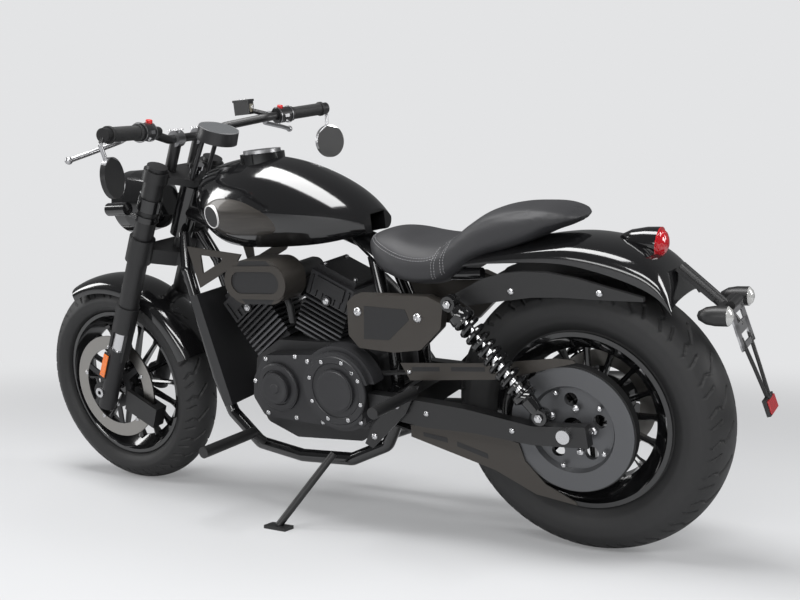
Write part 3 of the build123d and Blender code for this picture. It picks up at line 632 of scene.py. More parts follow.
def tyre_piece(node, body, hub, settings):
    """A tyre: its section carried round the axle, with the radius lowered near the groove lines.

    The section is the crown's circle, a three-point arc for each wall and the bead; the depth falls off
    smoothly over the groove's edge and towards the shoulder."""
    outer, width, crown, lip, rim_w, pitches = TYRES[node]
    half, bead = width / 2, rim_w / 2 - 9
    edge = math.asin(0.93 * half / crown)
    a = np.linspace(-edge, edge, TREAD_COLUMNS)
    tread = np.stack([crown * np.sin(a), outer - crown + crown * np.cos(a)], axis=1)
    shoulder = tread[-1]
    wall = arc3(shoulder, (half, (lip + shoulder[1]) / 2), (bead, lip + 3), 17)[1:]
    wall[[2, 3, 10, 11], 0] += 0.9      # two low ribs round the wall
    inner = np.array([(bead, lip - 8), (bead - 9, lip - 8), (shoulder[0] - 9, shoulder[1] - 6),
                      (half / 3, outer - 15)])
    right = np.vstack([wall, inner])
    section = np.vstack([tread, right, (right * [-1, 1])[::-1]])
    turn = np.linspace(0, 2 * math.pi, AROUND_TYRE, endpoint=False)
    along = turn[:, None] * outer
    across = np.broadcast_to(crown * a, (AROUND_TYRE, len(a)))
    pitch = 2 * math.pi * outer / pitches
    lines = [[(u * pitch, s * crown * edge) for u, s in line] for line in GROOVES]
    gap = near_lines(along, across, lines, pitch)
    fade = 1 - 0.45 * np.abs(across) / (crown * edge)
    inside = np.clip((settings.groove_width * 500 - gap) / 1.1 + 0.5, 0, 1)
    depth = settings.groove_depth * 1000 * fade * inside
    radius = np.broadcast_to(section[:, 1], (AROUND_TYRE, len(section))).copy()
    radius[:, :len(a)] -= depth * np.cos(a)
    side = np.broadcast_to(section[:, 0], radius.shape).copy()
    side[:, :len(a)] -= depth * np.sin(a)
    points = hub + np.stack([radius * np.sin(turn)[:, None], side, radius * np.cos(turn)[:, None]], axis=-1)
    faces = grid_faces(AROUND_TYRE, len(section), wrap_cols=True)
    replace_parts(add_mesh(node + "_tread", points.reshape(-1, 3), faces, "tyre_rubber", body, 35.0), node)


class MOTO_OT_tyres(bpy.types.Operator):
    """Builds both tyres with their zig-zag grooves"""

    bl_idname = "moto.tyres"
    bl_label = "Tyres"

    def execute(self, context):
        tyre_piece("rear_tyre", "rear_wheel", REAR_HUB, context.scene.moto)
        tyre_piece("front_tyre", "front_wheel", FRONT_HUB, context.scene.moto)
        return {"FINISHED"}


# ---------------------------------------------------------------- screws and caps
def screw_rows(kind, radius, height):
    """Profile of a screw head: (height, radius) rows, from its seat to the middle of its top."""
    if kind == "button":
        return [(-1, radius), (height * 0.25, radius), (height * 0.7, radius * 0.86), (height, radius * 0.52),
                (height, radius * 0.4), (height * 0.55, radius * 0.36), (height * 0.5, 0)]
    if kind == "socket":
        return [(-1, radius), (height * 0.85, radius), (height, radius * 0.88), (height, radius * 0.52),
                (height * 0.45, radius * 0.48), (height * 0.4, 0)]
    return [(-1, radius), (height * 0.2, radius), (height * 0.3, radius * 0.74), (height * 0.9, radius * 0.74),
            (height, radius * 0.62), (height, 0)]


def screws(rows, around=14):
    """Screw heads from rows of (kind, x, y, z, direction, radius, height) in one mesh."""
    return together([lathe(screw_rows(kind, r, h), (x, y, z), way, 6 if kind == "hex" else around)
                     for kind, x, y, z, way, r, h in rows])


def screw_ring(kind, hub, far, side, first, count, radius, height):
    """Screw rows on the left, evenly round a point: x = far sin t and z = far cos t, from the angle `first`."""
    return [(kind, *(hub + [far * math.sin(t), side, far * math.cos(t)]), LEFT, radius, height)
            for t in np.radians(first + 360 / count * np.arange(count))]


# screws laid on the skin that they meet: solid, kind, radius, height, whether on both sides, (x, z) places
BODY_SCREWS = [
    ("engine_covers", "button", 6.5, 4, False, [(836, 372), (793, 431), (700, 441), (640, 441), (808, 290),
                                                (720, 284), (640, 279), (506, 300), (506, 424)]),
    ("side_covers", "button", 11, 6, True, [(487, 564), (329, 554)]),
    ("fender_rails", "button", 7.5, 5, True, [(112, 609), (-83, 608)]),
    ("swingarm", "button", 6.5, 4, True, [(330, 333), (120, 312)]),
    ("passenger_pegs", "button", 8, 5, True, [(470, 270), (400, 350)]),
    ("belt_guards", "button", 6, 4, False, [(380, 420), (150, 434)]),
]


class MOTO_OT_screws(bpy.types.Operator):
    """Adds the plated screws of engine, covers, rails and guards"""

    bl_idname = "moto.screws"
    bl_label = "Screws"

    def execute(self, context):
        rows = []
        for node, kind, r, h, both_sides, spots in BODY_SCREWS:
            for x, z in spots:
                for side in (1, -1) if both_sides else (1,):
                    spot, _ = skin_spot(node, x, z, side)
                    rows.append((kind, *spot, (0, side, 0), r, h))
        rows += screw_ring("socket", CLUTCH, 75, 174.5, 22.5, 8, 5, 3.5)
        rows += [("hex", x, s * 175.5, z, (0, s, 0), 9, 6)
                 for s in (1, -1) for x, _, z in (SHOCK_TOP, SHOCK_FOOT)]
        add_mesh("chassis_screws", *screws(rows), "zinc_steel", "chassis")
        wheel = screw_ring("button", REAR_HUB, 50, 116, 56, 5, 8.5, 5)
        wheel += screw_ring("button", REAR_HUB, 84, 116, 20, 5, 6, 5)
        add_mesh("pulley_screws", *screws(wheel), "zinc_steel", "rear_wheel")
        disc = screw_ring("button", FRONT_HUB, 54, 72.5, 36, 5, 5.5, 4)
        disc += screw_ring("button", FRONT_HUB, 116, 74, 0, 5, 6, 2)
        add_mesh("disc_screws", *screws(disc), "zinc_steel", "front_wheel")
        head = [("socket", *fork(FORK_FWD + 27, s * (FORK_Y - 2), up), FORK_OUT, 5, 4)
                for s in (1, -1) for up in (455, 480)]
        head += [("button", *fork(FORK_FWD + 17, s * 131, up), (0, s, 0), 4.5, 3)
                 for s in (1, -1) for up in (62, 118)]
        head += [("button", 1066 + dx, s * 42 + dy, 1006, (0, 0, 1), 4.5, 4)
                 for s in (1, -1) for dx in (-13, 13) for dy in (-9, 9)]
        add_mesh("steering_screws", *screws(head), "zinc_steel", "steering")
        return {"FINISHED"}


# ---------------------------------------------------------------- seat
# x, half width, underside, widest height, top of each section, front to back
SEAT_ROWS = [(498, 40, 704, 713, 721), (486, 70, 682, 706, 732), (455, 104, 654, 690, 739),
             (415, 126, 634, 674, 734), (362, 142, 619, 660, 720), (311, 147, 616, 659, 711),
             (276, 145, 622, 668, 712), (248, 138, 638, 686, 728), (217, 127, 662, 706, 750),
             (178, 118, 678, 724, 771), (130, 112, 690, 740, 779), (82, 105, 706, 749, 779),
             (37, 96, 724, 756, 775), (-4, 76, 736, 754, 764), (-21, 50, 742, 749, 754),
             (-25, 30, 744, 748, 751)]
CLOTH_FRAMES = 20
SHRINK = 2.5
VOXEL, PRESSURE, LARGEST_MOVE = 0.005, 4.0, 0.0035       # lengths in metres
SEAM_DEPTH, SEAM_WIDTH = 1.6, 3.2
STITCH_OFFSET, STITCH_RADII, STITCH_PITCH = 3.4, [0.3, 0.6, 0.65, 0.6, 0.3], 7


def seat_point(x, t):
    """A point of the seat's skin: section by Catmull-Rom along x, then a rounded outline at angle t.

    side = half * sign(cos) |cos|^0.72, height = widest + (top - widest) sin^0.8 above and
    widest - (widest - underside) |sin|^0.4 below, where the side also tucks in by a tenth."""
    table = smooth_rows(SEAT_ROWS, 400)[::-1]
    half, low, wide, top = (np.interp(x, table[:, 0], table[:, k]) for k in range(1, 5))
    c, s = np.cos(t), np.sin(t)
    y = half * np.sign(c) * np.abs(c) ** 0.72 * np.where(s < 0, 1 - 0.10 * s ** 2, 1)
    z = np.where(s > 0, wide + (top - wide) * np.abs(s) ** 0.8, wide - (wide - low) * np.abs(s) ** 0.4)
    dish = 5 * np.exp(-((x - 370) / 80) ** 2) * np.where(s > 0, s, 0) ** 4
    return np.stack([x, y, z - dish], axis=-1)


def seat_grid(rows=150, around=120):
    """The whole skin on a grid of (along, round), closed at both ends."""
    x = np.concatenate([[SEAT_ROWS[0][0] + 0.5], np.linspace(SEAT_ROWS[0][0], SEAT_ROWS[-1][0], rows),
                        [SEAT_ROWS[-1][0] - 0.5]])
    t = np.linspace(0, 2 * math.pi, around, endpoint=False)
    grid = seat_point(*np.meshgrid(x, t, indexing="ij"))
    grid[0, :] = grid[1].mean(axis=0)
    grid[-1, :] = grid[-2].mean(axis=0)
    return grid.reshape(-1, 3), grid_faces(len(x), around, wrap_rows=False, wrap_cols=True)


def shrunk(points, faces, by):
    """Points moved inwards along their normals."""
    mesh = bpy.data.meshes.new("shrink")
    mesh.from_pydata(points.tolist(), [], faces.tolist())
    normals = read(mesh.vertex_normals, "vector")
    bpy.data.meshes.remove(mesh)
    outwards = np.sign(((points - points.mean(axis=0)) * normals).sum())
    return points - normals * by * outwards


def puffed(piece, voxel, pressure, cap):
    """Remeshes a piece, swells it as cloth under pressure, and caps how far a point may move."""
    scene, layer = bpy.context.scene, bpy.context.view_layer
    layer.objects.active = piece
    remesh = piece.modifiers.new("remesh", "REMESH")
    remesh.mode, remesh.voxel_size = "VOXEL", voxel
    bpy.ops.object.modifier_apply(modifier="remesh")
    before = read(piece.data.vertices, "co")
    cloth = piece.modifiers.new("cloth", "CLOTH")
    cloth.settings.use_pressure = True
    cloth.settings.uniform_pressure_force = pressure
    cloth.settings.effector_weights.gravity = 0
    cloth.settings.quality = 5
    cloth.point_cache.frame_start, cloth.point_cache.frame_end = 1, CLOTH_FRAMES
    for step in range(1, CLOTH_FRAMES + 1):
        scene.frame_set(step)
    swollen = piece.evaluated_get(bpy.context.evaluated_depsgraph_get()).to_mesh()
    move = read(swollen.vertices, "co") - before
    piece.modifiers.remove(cloth)
    scene.frame_set(1)
    length = np.linalg.norm(move, axis=1)[:, None]
    move *= np.minimum(1, cap / np.maximum(length, 1e-9))
    piece.data.vertices.foreach_set("co", (before + move).ravel())
    fine = piece.modifiers.new("fine", "SUBSURF")
    fine.levels = fine.render_levels = 1
    bpy.ops.object.modifier_apply(modifier="fine")


# seams: (x, angle on the section) rows; the panel seam runs back along the rider's part and up to the band
PANEL_SEAM = [(494, 1.25), (470, 0.62), (420, 0.42), (360, 0.40), (310, 0.42), (280, 0.50)]
BAND_X, BAND_HALF = 262.0, 11.0


def band_x(t):
    """The band between the two seats leans forward towards the sides: x grows with cos^2 t."""
    return BAND_X + 10 * np.abs(np.cos(t)) ** 2


def seam_lines():
    """Every seam as a row of upright points on the plain skin."""
    t = np.linspace(-0.35, math.pi + 0.35, 160)
    lines = [seat_point(band_x(t) + offset, t) for offset in (BAND_HALF, -BAND_HALF)]
    rows = smooth_rows(PANEL_SEAM, 120)
    for mirror in (False, True):
        angle = math.pi - rows[:, 1] if mirror else rows[:, 1]
        lines.append(seat_point(rows[:, 0], angle))
    return lines


def evenly(line, step):
    """Points of a line at even distances."""
    far = np.concatenate([[0], np.cumsum(np.linalg.norm(np.diff(line, axis=0), axis=1))])
    at = np.arange(step / 2, far[-1], step)
    return np.stack([np.interp(at, far, line[:, k]) for k in range(3)], axis=1)


def seam_dip(spots):
    """How deep the sewing draws each spot in: depth * exp(-(d / width)^2), for its distance d to a seam."""
    dip = np.zeros(len(spots))
    for line in seam_lines():
        marks = evenly(line, 3.0)
        near = np.full(len(spots), 1e9)
        for part in np.array_split(marks, max(1, len(marks) // 40)):
            low, high = part.min(axis=0) - 12, part.max(axis=0) + 12
            pick = np.all((spots > low) & (spots < high), axis=1).nonzero()[0]
            gap = np.linalg.norm(spots[pick][:, None] - part[None], axis=2).min(axis=1)
            near[pick] = np.minimum(near[pick], gap)
        dip = np.maximum(dip, SEAM_DEPTH * np.exp(-(near / SEAM_WIDTH) ** 2))
    return dip


def stitches(line, tree):
    """Short tubes beside a seam: on each side, one over five marks of every seven, laid on the skin."""
    marks = evenly(line, 1.0)
    way = np.gradient(marks, axis=0)
    way /= np.linalg.norm(way, axis=1)[:, None]
    met = [tree.find_nearest(Vector(mark)) for mark in leaned(marks)]
    spot, normal = upright_skin([tuple(m[0]) for m in met], [tuple(m[1]) for m in met])
    across = np.cross(normal, way)
    tubes = []
    for side in (-STITCH_OFFSET, STITCH_OFFSET):
        row = spot + across * side + normal * 0.35
        for start in range(0, len(row) - len(STITCH_RADII), STITCH_PITCH):
            tubes.append(tube(row[start:start + len(STITCH_RADII)], STITCH_RADII, 6))
    return tubes


class MOTO_OT_seat(bpy.types.Operator):
    """Builds the two-part padded seat, its sewn seams and its stitches"""

    bl_idname = "moto.seat"
    bl_label = "Padded seat"

    def execute(self, context):
        points, faces = seat_grid()
        piece = add_mesh("seat_pad", shrunk(points, faces, SHRINK), faces, "leatherette", None, 0)
        puffed(piece, VOXEL, PRESSURE, LARGEST_MOVE)
        mesh = piece.data
        spots, normals = read(mesh.vertices, "co"), read(mesh.vertex_normals, "vector")
        dip = seam_dip(upright(spots))[:, None] / 1000
        mesh.vertices.foreach_set("co", (spots - normals * dip).ravel())
        mesh.shade_smooth()
        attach(piece, "chassis")
        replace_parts(piece, "seat")
        tree = BVHTree.FromObject(piece, context.evaluated_depsgraph_get())
        threads = [thread for line in seam_lines() for thread in stitches(line, tree)]
        add_mesh("seat_stitches", *together(threads), "stitch_thread", "chassis", 60.0, weld=False)
        return {"FINISHED"}


# ---------------------------------------------------------------- grips, switches and the brake's fluid cup
def grip_rows():
    """Profile of a ribbed grip, as (distance from the bar's end, radius), once round its section."""
    rows = [(0.3, 11.3), (0.3, 19.4), (1.0, 20.0), (7.4, 20.0), (8.0, 19.2), (8.2, 16.3)]
    for start in np.arange(10.0, 108.0, 5.0):
        rows += [(start, 16.3), (start + 0.7, 17.0), (start + 3.3, 17.0), (start + 4.0, 16.3)]
    rows += [(111.8, 16.3), (112.3, 19.2), (113, 20), (119.4, 20), (120, 19.2), (120.3, 16.8), (121.8, 16.8)]
    return rows + [(121.8, 11.3), (0.3, 11.3)]


class MOTO_OT_controls(bpy.types.Operator):
    """Adds the ribbed grips, the switches and the small parts of bar and reservoir"""

    bl_idname = "moto.controls"
    bl_label = "Controls"

    def execute(self, context):
        grip = mirrored(lathe(grip_rows(), BAR_END, -BAR_OUT))
        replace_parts(add_mesh("ribbed_grips", *grip, "grip_rubber", "steering"), "grips")
        cap = [(15, 11.5), (16.9, 11.5), (17.4, 10.8), (17.4, 3.4), (16.8, 3.2), (16.8, 0)]
        add_mesh("bar_end_discs", *mirrored(lathe(cap, BAR_END, BAR_OUT, 32)), "reflector_silver", "steering")
        root = BAR_END - BAR_OUT * 156
        ring = [(0, 22), (0, 23.7), (1.6, 23.7), (1.6, 22), (0, 22)]
        rings = [lathe(ring, BAR_END - BAR_OUT * (124 + step), -BAR_OUT, 36) for step in (0, 40)]
        rocker = box_mesh((4, 15, 8), root + [-23.5, 4, -2], turn_z(12))
        knob = lathe([(-4, 0), (-4, 5), (3, 5), (5, 3.5), (5, 0)], root + [-16, 10, -16], (-0.8, 0, -0.6), 20)
        add_mesh("switch_trim", *mirrored(together([*rings, rocker, knob])), "satin_alloy", "steering")
        button = [(-3, 0), (-3, 8), (3.6, 8), (5, 6.8), (5.2, 0)]
        red = together([lathe(button, root + [-4, -8, 22.5], (-0.25, 0, 0.97), 24),
                        lathe(button, (root + [-4, 2, 22.5]) * [1, -1, 1], (-0.25, 0, 0.97), 24)])
        add_mesh("switch_buttons", *red, "red_button", "steering")
        middle_of_cup, turn = BAR_END + [115, -609, 25], turn_z(25)
        on_cup = lambda x, y, z: middle_of_cup + turn @ np.array([x, y, z])
        clamp = [middle_of_cup - [18, 16, 10], middle_of_cup - [44, 36, 22], (975, -253, 1013)]
        cup = together([box_mesh((42, 54, 36), middle_of_cup, turn),
                        box_mesh((46, 58, 6), on_cup(0, 0, 20), turn), tube(clamp, 7, 14)])
        add_mesh("reservoir_cup", *cup, "black_plastic", "steering", 0)
        window = box_mesh((1.6, 38, 22), on_cup(-21.2, 0, -1), turn)
        add_mesh("fluid_window", *window, "sight_window", "steering", 0)
        eye = [(0, 7.5), (2.2, 7.5), (2.2, 4.6), (1.6, 4.4), (1.6, 0)]
        marks = [lathe(eye, on_cup(-21.4, -10, -1), -turn[:, 0], 24)]
        marks += [lathe(screw_rows("button", 4, 2.2), on_cup(0, y, 22.8), (0, 0, 1), 16) for y in (-21, 21)]
        add_mesh("reservoir_trim", *together(marks), "zinc_steel", "steering")
        return {"FINISHED"}


# ---------------------------------------------------------------- wheels, shocks and tail
SPOKES = 16
SPOKE_SECTION = [(-1, -0.6), (-1, 0.6), (-0.25, 1), (0.25, 1), (1, 0.6), (1, -0.6), (0.25, -1), (-0.25, -1)]


def rim_shape(hub, lip, rim_w, hub_r, hub_half):
    """A drop-centre rim, its hub and its ridged spokes: each spoke is the eight-sided section above,
    scaled at four radii, so that it narrows outwards and widens again at the rim."""
    half, well, seat = rim_w / 2, lip - 34, lip - 8
    barrel = [(-half, lip), (-half + 6, lip), (-half + 6, seat), (-half + 24, seat - 2), (-half + 34, well),
              (half - 34, well), (half - 24, seat - 2), (half - 6, seat), (half - 6, lip), (half, lip),
              (half, lip - 10), (half - 14, lip - 17), (half - 38, well - 9), (-half + 38, well - 9),
              (-half + 14, lip - 17), (-half, lip - 10), (-half, lip)]
    core = [(-hub_half, 12), (-hub_half, hub_r - 12), (-hub_half + 18, hub_r), (hub_half - 18, hub_r),
            (hub_half, hub_r - 12), (hub_half, 12), (-hub_half, 12)]
    pieces = [lathe(barrel, hub, SIDE, 160), lathe(core, hub, SIDE, 64)]
    sizes = ((hub_r - 5, 8.5, 17), (hub_r + 12, 6.5, 15), (well - 24, 5.2, 10), (well - 4, 9.0, 14))
    faces = grid_faces(len(sizes), len(SPOKE_SECTION), wrap_rows=False, wrap_cols=True)
    for t in 2 * math.pi * np.arange(SPOKES) / SPOKES:
        out, across = np.array([math.sin(t), 0, math.cos(t)]), np.array([math.cos(t), 0, -math.sin(t)])
        points = [hub + out * r + across * a * w + SIDE * b * d for r, w, d in sizes for a, b in SPOKE_SECTION]
        pieces.append((np.array(points), faces))
    return together(pieces)


def coil(start, stop, radius, wire, turns):
    """A spring: start + w * length * s + radius * (u cos t + v sin t), where s runs with the angle t."""
    u, v, _ = basis(stop - start)
    t = np.linspace(0, 2 * math.pi * turns, turns * 18 + 1)
    share = np.clip((t / t[-1] - 0.03) / 0.94, 0, 1)[:, None]
    return tube(start + (stop - start) * share + radius * circle(u, v, t), wire, 8)


# profiles along a shock, as (distance from the upper eye, radius), and of its eyes, across the machine
EYE = [(-14, 9), (-14, 16.5), (-12, 17.5), (12, 17.5), (14, 16.5), (14, 9), (-14, 9)]
UPPER_CUP = [(14, 0), (14, 13), (26, 16), (30, 27), (44, 28), (46, 27), (46, 0)]
LOWER_CUP = [(246, 0), (246, 27), (248, 28), (256, 28), (262, 17), (292, 14), (292, 0)]
DAMPER = [(44, 0), (44, 7), (120, 7), (121, 11.5), (248, 11.5), (248, 0)]
SPRING_ENDS, SPRING_R, WIRE_R, SPRING_TURNS = (45, 247), 21.6, 6.0, 11


class MOTO_OT_wheels(bpy.types.Operator):
    """Builds the sixteen-spoke rims and the two coil-over shocks"""

    bl_idname = "moto.wheels"
    bl_label = "Rims and shocks"

    def execute(self, context):
        for end, hub, hub_r, hub_half in (("rear", REAR_HUB, 46, 62), ("front", FRONT_HUB, 40, 50)):
            shape = rim_shape(hub, *TYRES[end + "_tyre"][3:5], hub_r, hub_half)
            piece = add_mesh(end + "_rim_spoked", *shape, "gloss_black", end + "_wheel")
            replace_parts(piece, end + "_rim")
        way = unit(SHOCK_FOOT - SHOCK_TOP)
        shock = [lathe(EYE, spot, SIDE, 32) for spot in (SHOCK_TOP, SHOCK_FOOT)]
        shock += [lathe(cup, SHOCK_TOP, way) for cup in (UPPER_CUP, LOWER_CUP)]
        shock.append(coil(*(SHOCK_TOP + way * run for run in SPRING_ENDS), SPRING_R, WIRE_R, SPRING_TURNS))
        piece = add_mesh("shock_springs", *mirrored(together(shock)), "gloss_black", "chassis")
        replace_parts(piece, "rear_shocks")
        add_mesh("shock_dampers", *mirrored(lathe(DAMPER, SHOCK_TOP, way, 32)), "bright_metal", "chassis")
        return {"FINISHED"}


# x, lower edge, top of the rear fender, front to back
FENDER_ROWS = [(298, 644, 678), (250, 656, 684), (200, 664, 691), (100, 669, 705), (0, 665, 714),
               (-80, 647, 706), (-150, 622, 685), (-190, 600, 655), (-212, 578, 618), (-222, 562, 582)]
FENDER_WALL, REAR_HALF, FRONT_HALF, FRONT_RISE, OVER_TYRE = 3.0, 104, 72, 44, 20
TAIL_TURNS_DOWN = -150      # behind this x the wall also thins the rear fender's end


def shell(outer, inner):
    """Closes two grids of points, one inside the other, into one hollow skin: rows along, columns across."""
    rows, cols = outer.shape[:2]
    ring = np.concatenate([outer, inner[:, ::-1]], axis=1)
    faces = [tuple(f) for f in grid_faces(rows, cols * 2, wrap_rows=False, wrap_cols=True)]
    for k in (0, rows - 1):
        for c in range(cols - 1):
            a, b = k * cols * 2 + c, k * cols * 2 + cols * 2 - 1 - c
            faces.append((a, a + 1, b - 1, b) if k == 0 else (a, b, b - 1, a + 1))
    return ring.reshape(-1, 3), faces


def rear_fender_shape():
    """Across: y = half sin t, z = low + (top - low) cos(t) ^ 0.62, for t from -90 to 90 degrees."""
    t = np.linspace(-math.pi / 2, math.pi / 2, 49)
    skins = []
    for wall in (0, FENDER_WALL):
        rows = []
        for x, low, top in smooth_rows(FENDER_ROWS, 90):
            height = low + (top - wall - low) * np.abs(np.cos(t)) ** 0.62
            along = np.full(len(t), x + (wall if x < TAIL_TURNS_DOWN else 0))
            rows.append(np.stack([along, (REAR_HALF - wall) * np.sin(t), height], axis=1))
        skins.append(np.array(rows))
    return shell(*skins)


def front_fender_shape():
    """Round the front axle from 66 to 162 degrees: y = 72 sin t, r = edge + 44 |cos t| ^ 0.55."""
    t = np.linspace(-math.pi / 2, math.pi / 2, 41)
    skins = []
    for wall in (0, FENDER_WALL):
        edge = TYRES["front_tyre"][0] + OVER_TYRE - FRONT_RISE
        r = edge + (FRONT_RISE - wall) * np.abs(np.cos(t)) ** 0.55
        side = (FRONT_HALF - wall) * np.sin(t)
        skins.append(np.array([FRONT_HUB + np.stack([r * math.cos(a), side, r * math.sin(a)], axis=1)
                               for a in np.radians(np.linspace(66, 162, 97))]))
    return shell(*skins)


BAR_TAIL = np.array([-300.0, 0.0, 560.0])                    # middle of the bar that carries the signals
TAIL_SIGNALS = [BAR_TAIL + [0, s * 86, 0] for s in (1, -1)]
PLATE_TILT = turn_y(16)
# profiles as (distance along, radius)
BULLET = [(0, 0), (6, 10), (26, 22), (58, 31), (82, 34), (87, 34), (87, 0)]
SIGNAL_CAN = [(-34, 0), (-30, 9), (-16, 17), (2, 20), (26, 20), (26, 0)]
SIGNAL_GLASS = [(25, 0), (25, 19.6), (27, 19.2), (33, 13), (36, 5), (36.4, 0)]
# bars of the plate holder: side, height, width across, width up
PLATE_BARS = [(0, 36, 100, 12), (0, 0, 100, 22), (0, -36, 100, 12), (-38, 0, 24, 84), (38, 0, 24, 84)]


class MOTO_OT_tail(bpy.types.Operator):
    """Builds both fenders' skins, the bullet tail lamp and the bracket with its signals and plate holder"""

    bl_idname = "moto.tail"
    bl_label = "Tail"

    def execute(self, context):
        piece = add_mesh("rear_fender_skin", *rear_fender_shape(), "gloss_black", "chassis")
        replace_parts(piece, "rear_fender")
        piece = add_mesh("front_fender_skin", *front_fender_shape(), "gloss_black", "steering")
        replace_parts(piece, "front_fender")
        foot = box_mesh((50, 34, 26), TAIL_LAMP - [56, 0, 34], turn_y(-24))
        body = together([lathe(BULLET, TAIL_LAMP, TAIL_WAY, 48), foot])
        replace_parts(add_mesh("tail_bullet", *body, "gloss_black", "chassis"), "tail_lamp")
        stay = rounded([(-214, 0, 640), (-262, 0, 596), BAR_TAIL], 20)
        black = [tube(stay, 12, 20), box_mesh((96, 40, 7), (-246, 0, 606), turn_y(-42)),
                 tube([BAR_TAIL - [0, 84, 0], BAR_TAIL, BAR_TAIL + [0, 84, 0]], 11, 20),
                 tube([(-318, -34, 568), (-318, 0, 568), (-318, 34, 568)], 9, 16),
                 tube([BAR_TAIL, (-314, 0, 540), (-328, 0, 520)], 7, 14),
                 tube([(-376, -12, 372), (-376, 0, 372), (-376, 12, 372)], 6, 12),
                 box_mesh((8, 62, 34), (-378, 0, 360), PLATE_TILT)]
        black += [tube([(-335, s * 30, 502), (-356, s * 19, 438), (-376, s * 8, 374)], 4, 12) for s in (1, -1)]
        black += [lathe(SIGNAL_CAN, spot, BACK, 36) for spot in TAIL_SIGNALS]
        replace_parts(add_mesh("tail_stay", *together(black), "satin_black", "chassis"), "tail_bracket")
        lenses = together([lathe(SIGNAL_GLASS, spot, BACK, 36) for spot in TAIL_SIGNALS])
        add_mesh("tail_signal_glass", *lenses, "pale_lens", "chassis")
        bars = [box_mesh((4, w, h), np.array([-330, 0, 520]) + PLATE_TILT @ np.array([0, y, z]), PLATE_TILT)
                for y, z, w, h in PLATE_BARS]
        add_mesh("plate_holder", *together(bars), "satin_alloy", "chassis", 0)
        glow = box_mesh((3, 54, 27), np.array([-380, 0, 360]) + PLATE_TILT @ np.array([-4, 0, 0]), PLATE_TILT)
        add_mesh("rear_reflector", *glow, "red_lens", "chassis", 0)
        return {"FINISHED"}


# ---------------------------------------------------------------- lamps
HEADLAMP = FRONT_HUB * [1, 0, 0] + [-250, 0, 822]
# profiles as (distance ahead, radius)
BOWL = [(96.5, 0), (96.5, 14), (99, 32), (105, 52), (113, 67), (122.5, 76.5), (121.5, 77.3), (112, 68.6),
        (103.5, 53), (97.5, 33), (95.2, 14), (95.2, 0)]
BULB = [(97, 0), (97, 8), (112, 8), (118, 6.5), (121, 3), (122, 0)]
HOOD = [(108, 20), (114, 20), (114, 18.6), (108, 18.6), (108, 20)]
# the tail lamp's glass: distance behind, radius
TAIL_GLASS = [(85.5, 34.3), (88.0, 34.4), (88.4, 29.6), (92.5, 28.2), (97.0, 24.6), (101.2, 17.2), (104.2, 8.2),
              (105.2, 0)]
FACETS = 22


def cut_glass():
    """Rings of points, every other one turned by half a facet and joined to the next by triangles."""
    u, v, w = basis(TAIL_WAY)
    points, faces = [], []
    for k, (a, r) in enumerate(TAIL_GLASS):
        t = (np.arange(FACETS) + 0.5 * (k % 2 if k > 2 else 0)) * 2 * math.pi / FACETS
        points.append(TAIL_LAMP + a * w + r * circle(u, v, t))
    for k in range(len(TAIL_GLASS) - 1):
        for i in range(FACETS):
            j = (i + 1) % FACETS
            a, b, c, d = k * FACETS + i, k * FACETS + j, (k + 1) * FACETS + i, (k + 1) * FACETS + j
            faces += [(a, b, c), (b, d, c)] if k % 2 or k < 2 else [(a, b, d), (a, d, c)]
    faces.append(list(range(FACETS))[::-1])
    return np.concatenate(points), faces


class MOTO_OT_lamps(bpy.types.Operator):
    """Adds the reflector of the headlamp and the cut red glass of the tail lamp"""

    bl_idname = "moto.lamps"
    bl_label = "Lamps"

    def execute(self, context):
        add_mesh("headlamp_reflector", *lathe(BOWL, HEADLAMP, AHEAD, 64), "reflector_silver", "steering")
        bulb = together([lathe(BULB, HEADLAMP, AHEAD, 28), lathe(HOOD, HEADLAMP, AHEAD, 36)])
        add_mesh("headlamp_bulb", *bulb, "pale_lens", "steering")
        add_mesh("tail_glass", *cut_glass(), "red_lens", "chassis", 0)
        return {"FINISHED"}


# ---------------------------------------------------------------- tank, plates, engine and fork
# outlines in the side view, as (x, z) rows
GUSSET = [(1026, 712), (850, 690), (872, 664), (1002, 604)]
GUSSET_HOLE = [(985, 690), (912, 682), (918, 672), (985, 642)]
WEDGE = [(468, 578), (360, 572), (352, 548), (410, 500), (478, 500)]
LOWER_GUARD = [(394, 291), (330, 288), (188, 288), (122, 272), (110, 232), (66, 184), (0, 152), (-4, 144),
               (90, 158), (184, 203), (396, 262)]
UPPER_SLOTS = [[(372, 432), (300, 436), (300, 426), (372, 422)],
               [(270, 438), (186, 442), (186, 432), (270, 428)]]
LOWER_SLOTS = [[(362, 276), (300, 268), (300, 256), (362, 266)],
               [(276, 262), (200, 240), (200, 228), (276, 250)]]
# the tank's insert: x, lower edge, upper edge
INSERT = [(704, 752, 768), (712, 746, 782), (730, 741, 798), (760, 738, 812), (800, 738, 827), (844, 738, 836),
          (880, 743, 837), (905, 749, 833), (925, 762, 826), (938, 778, 819), (944, 796, 808)]


INSERT_ROWS, INSERT_COLUMNS = 70, 26
BADGE_AT = (908, 790)
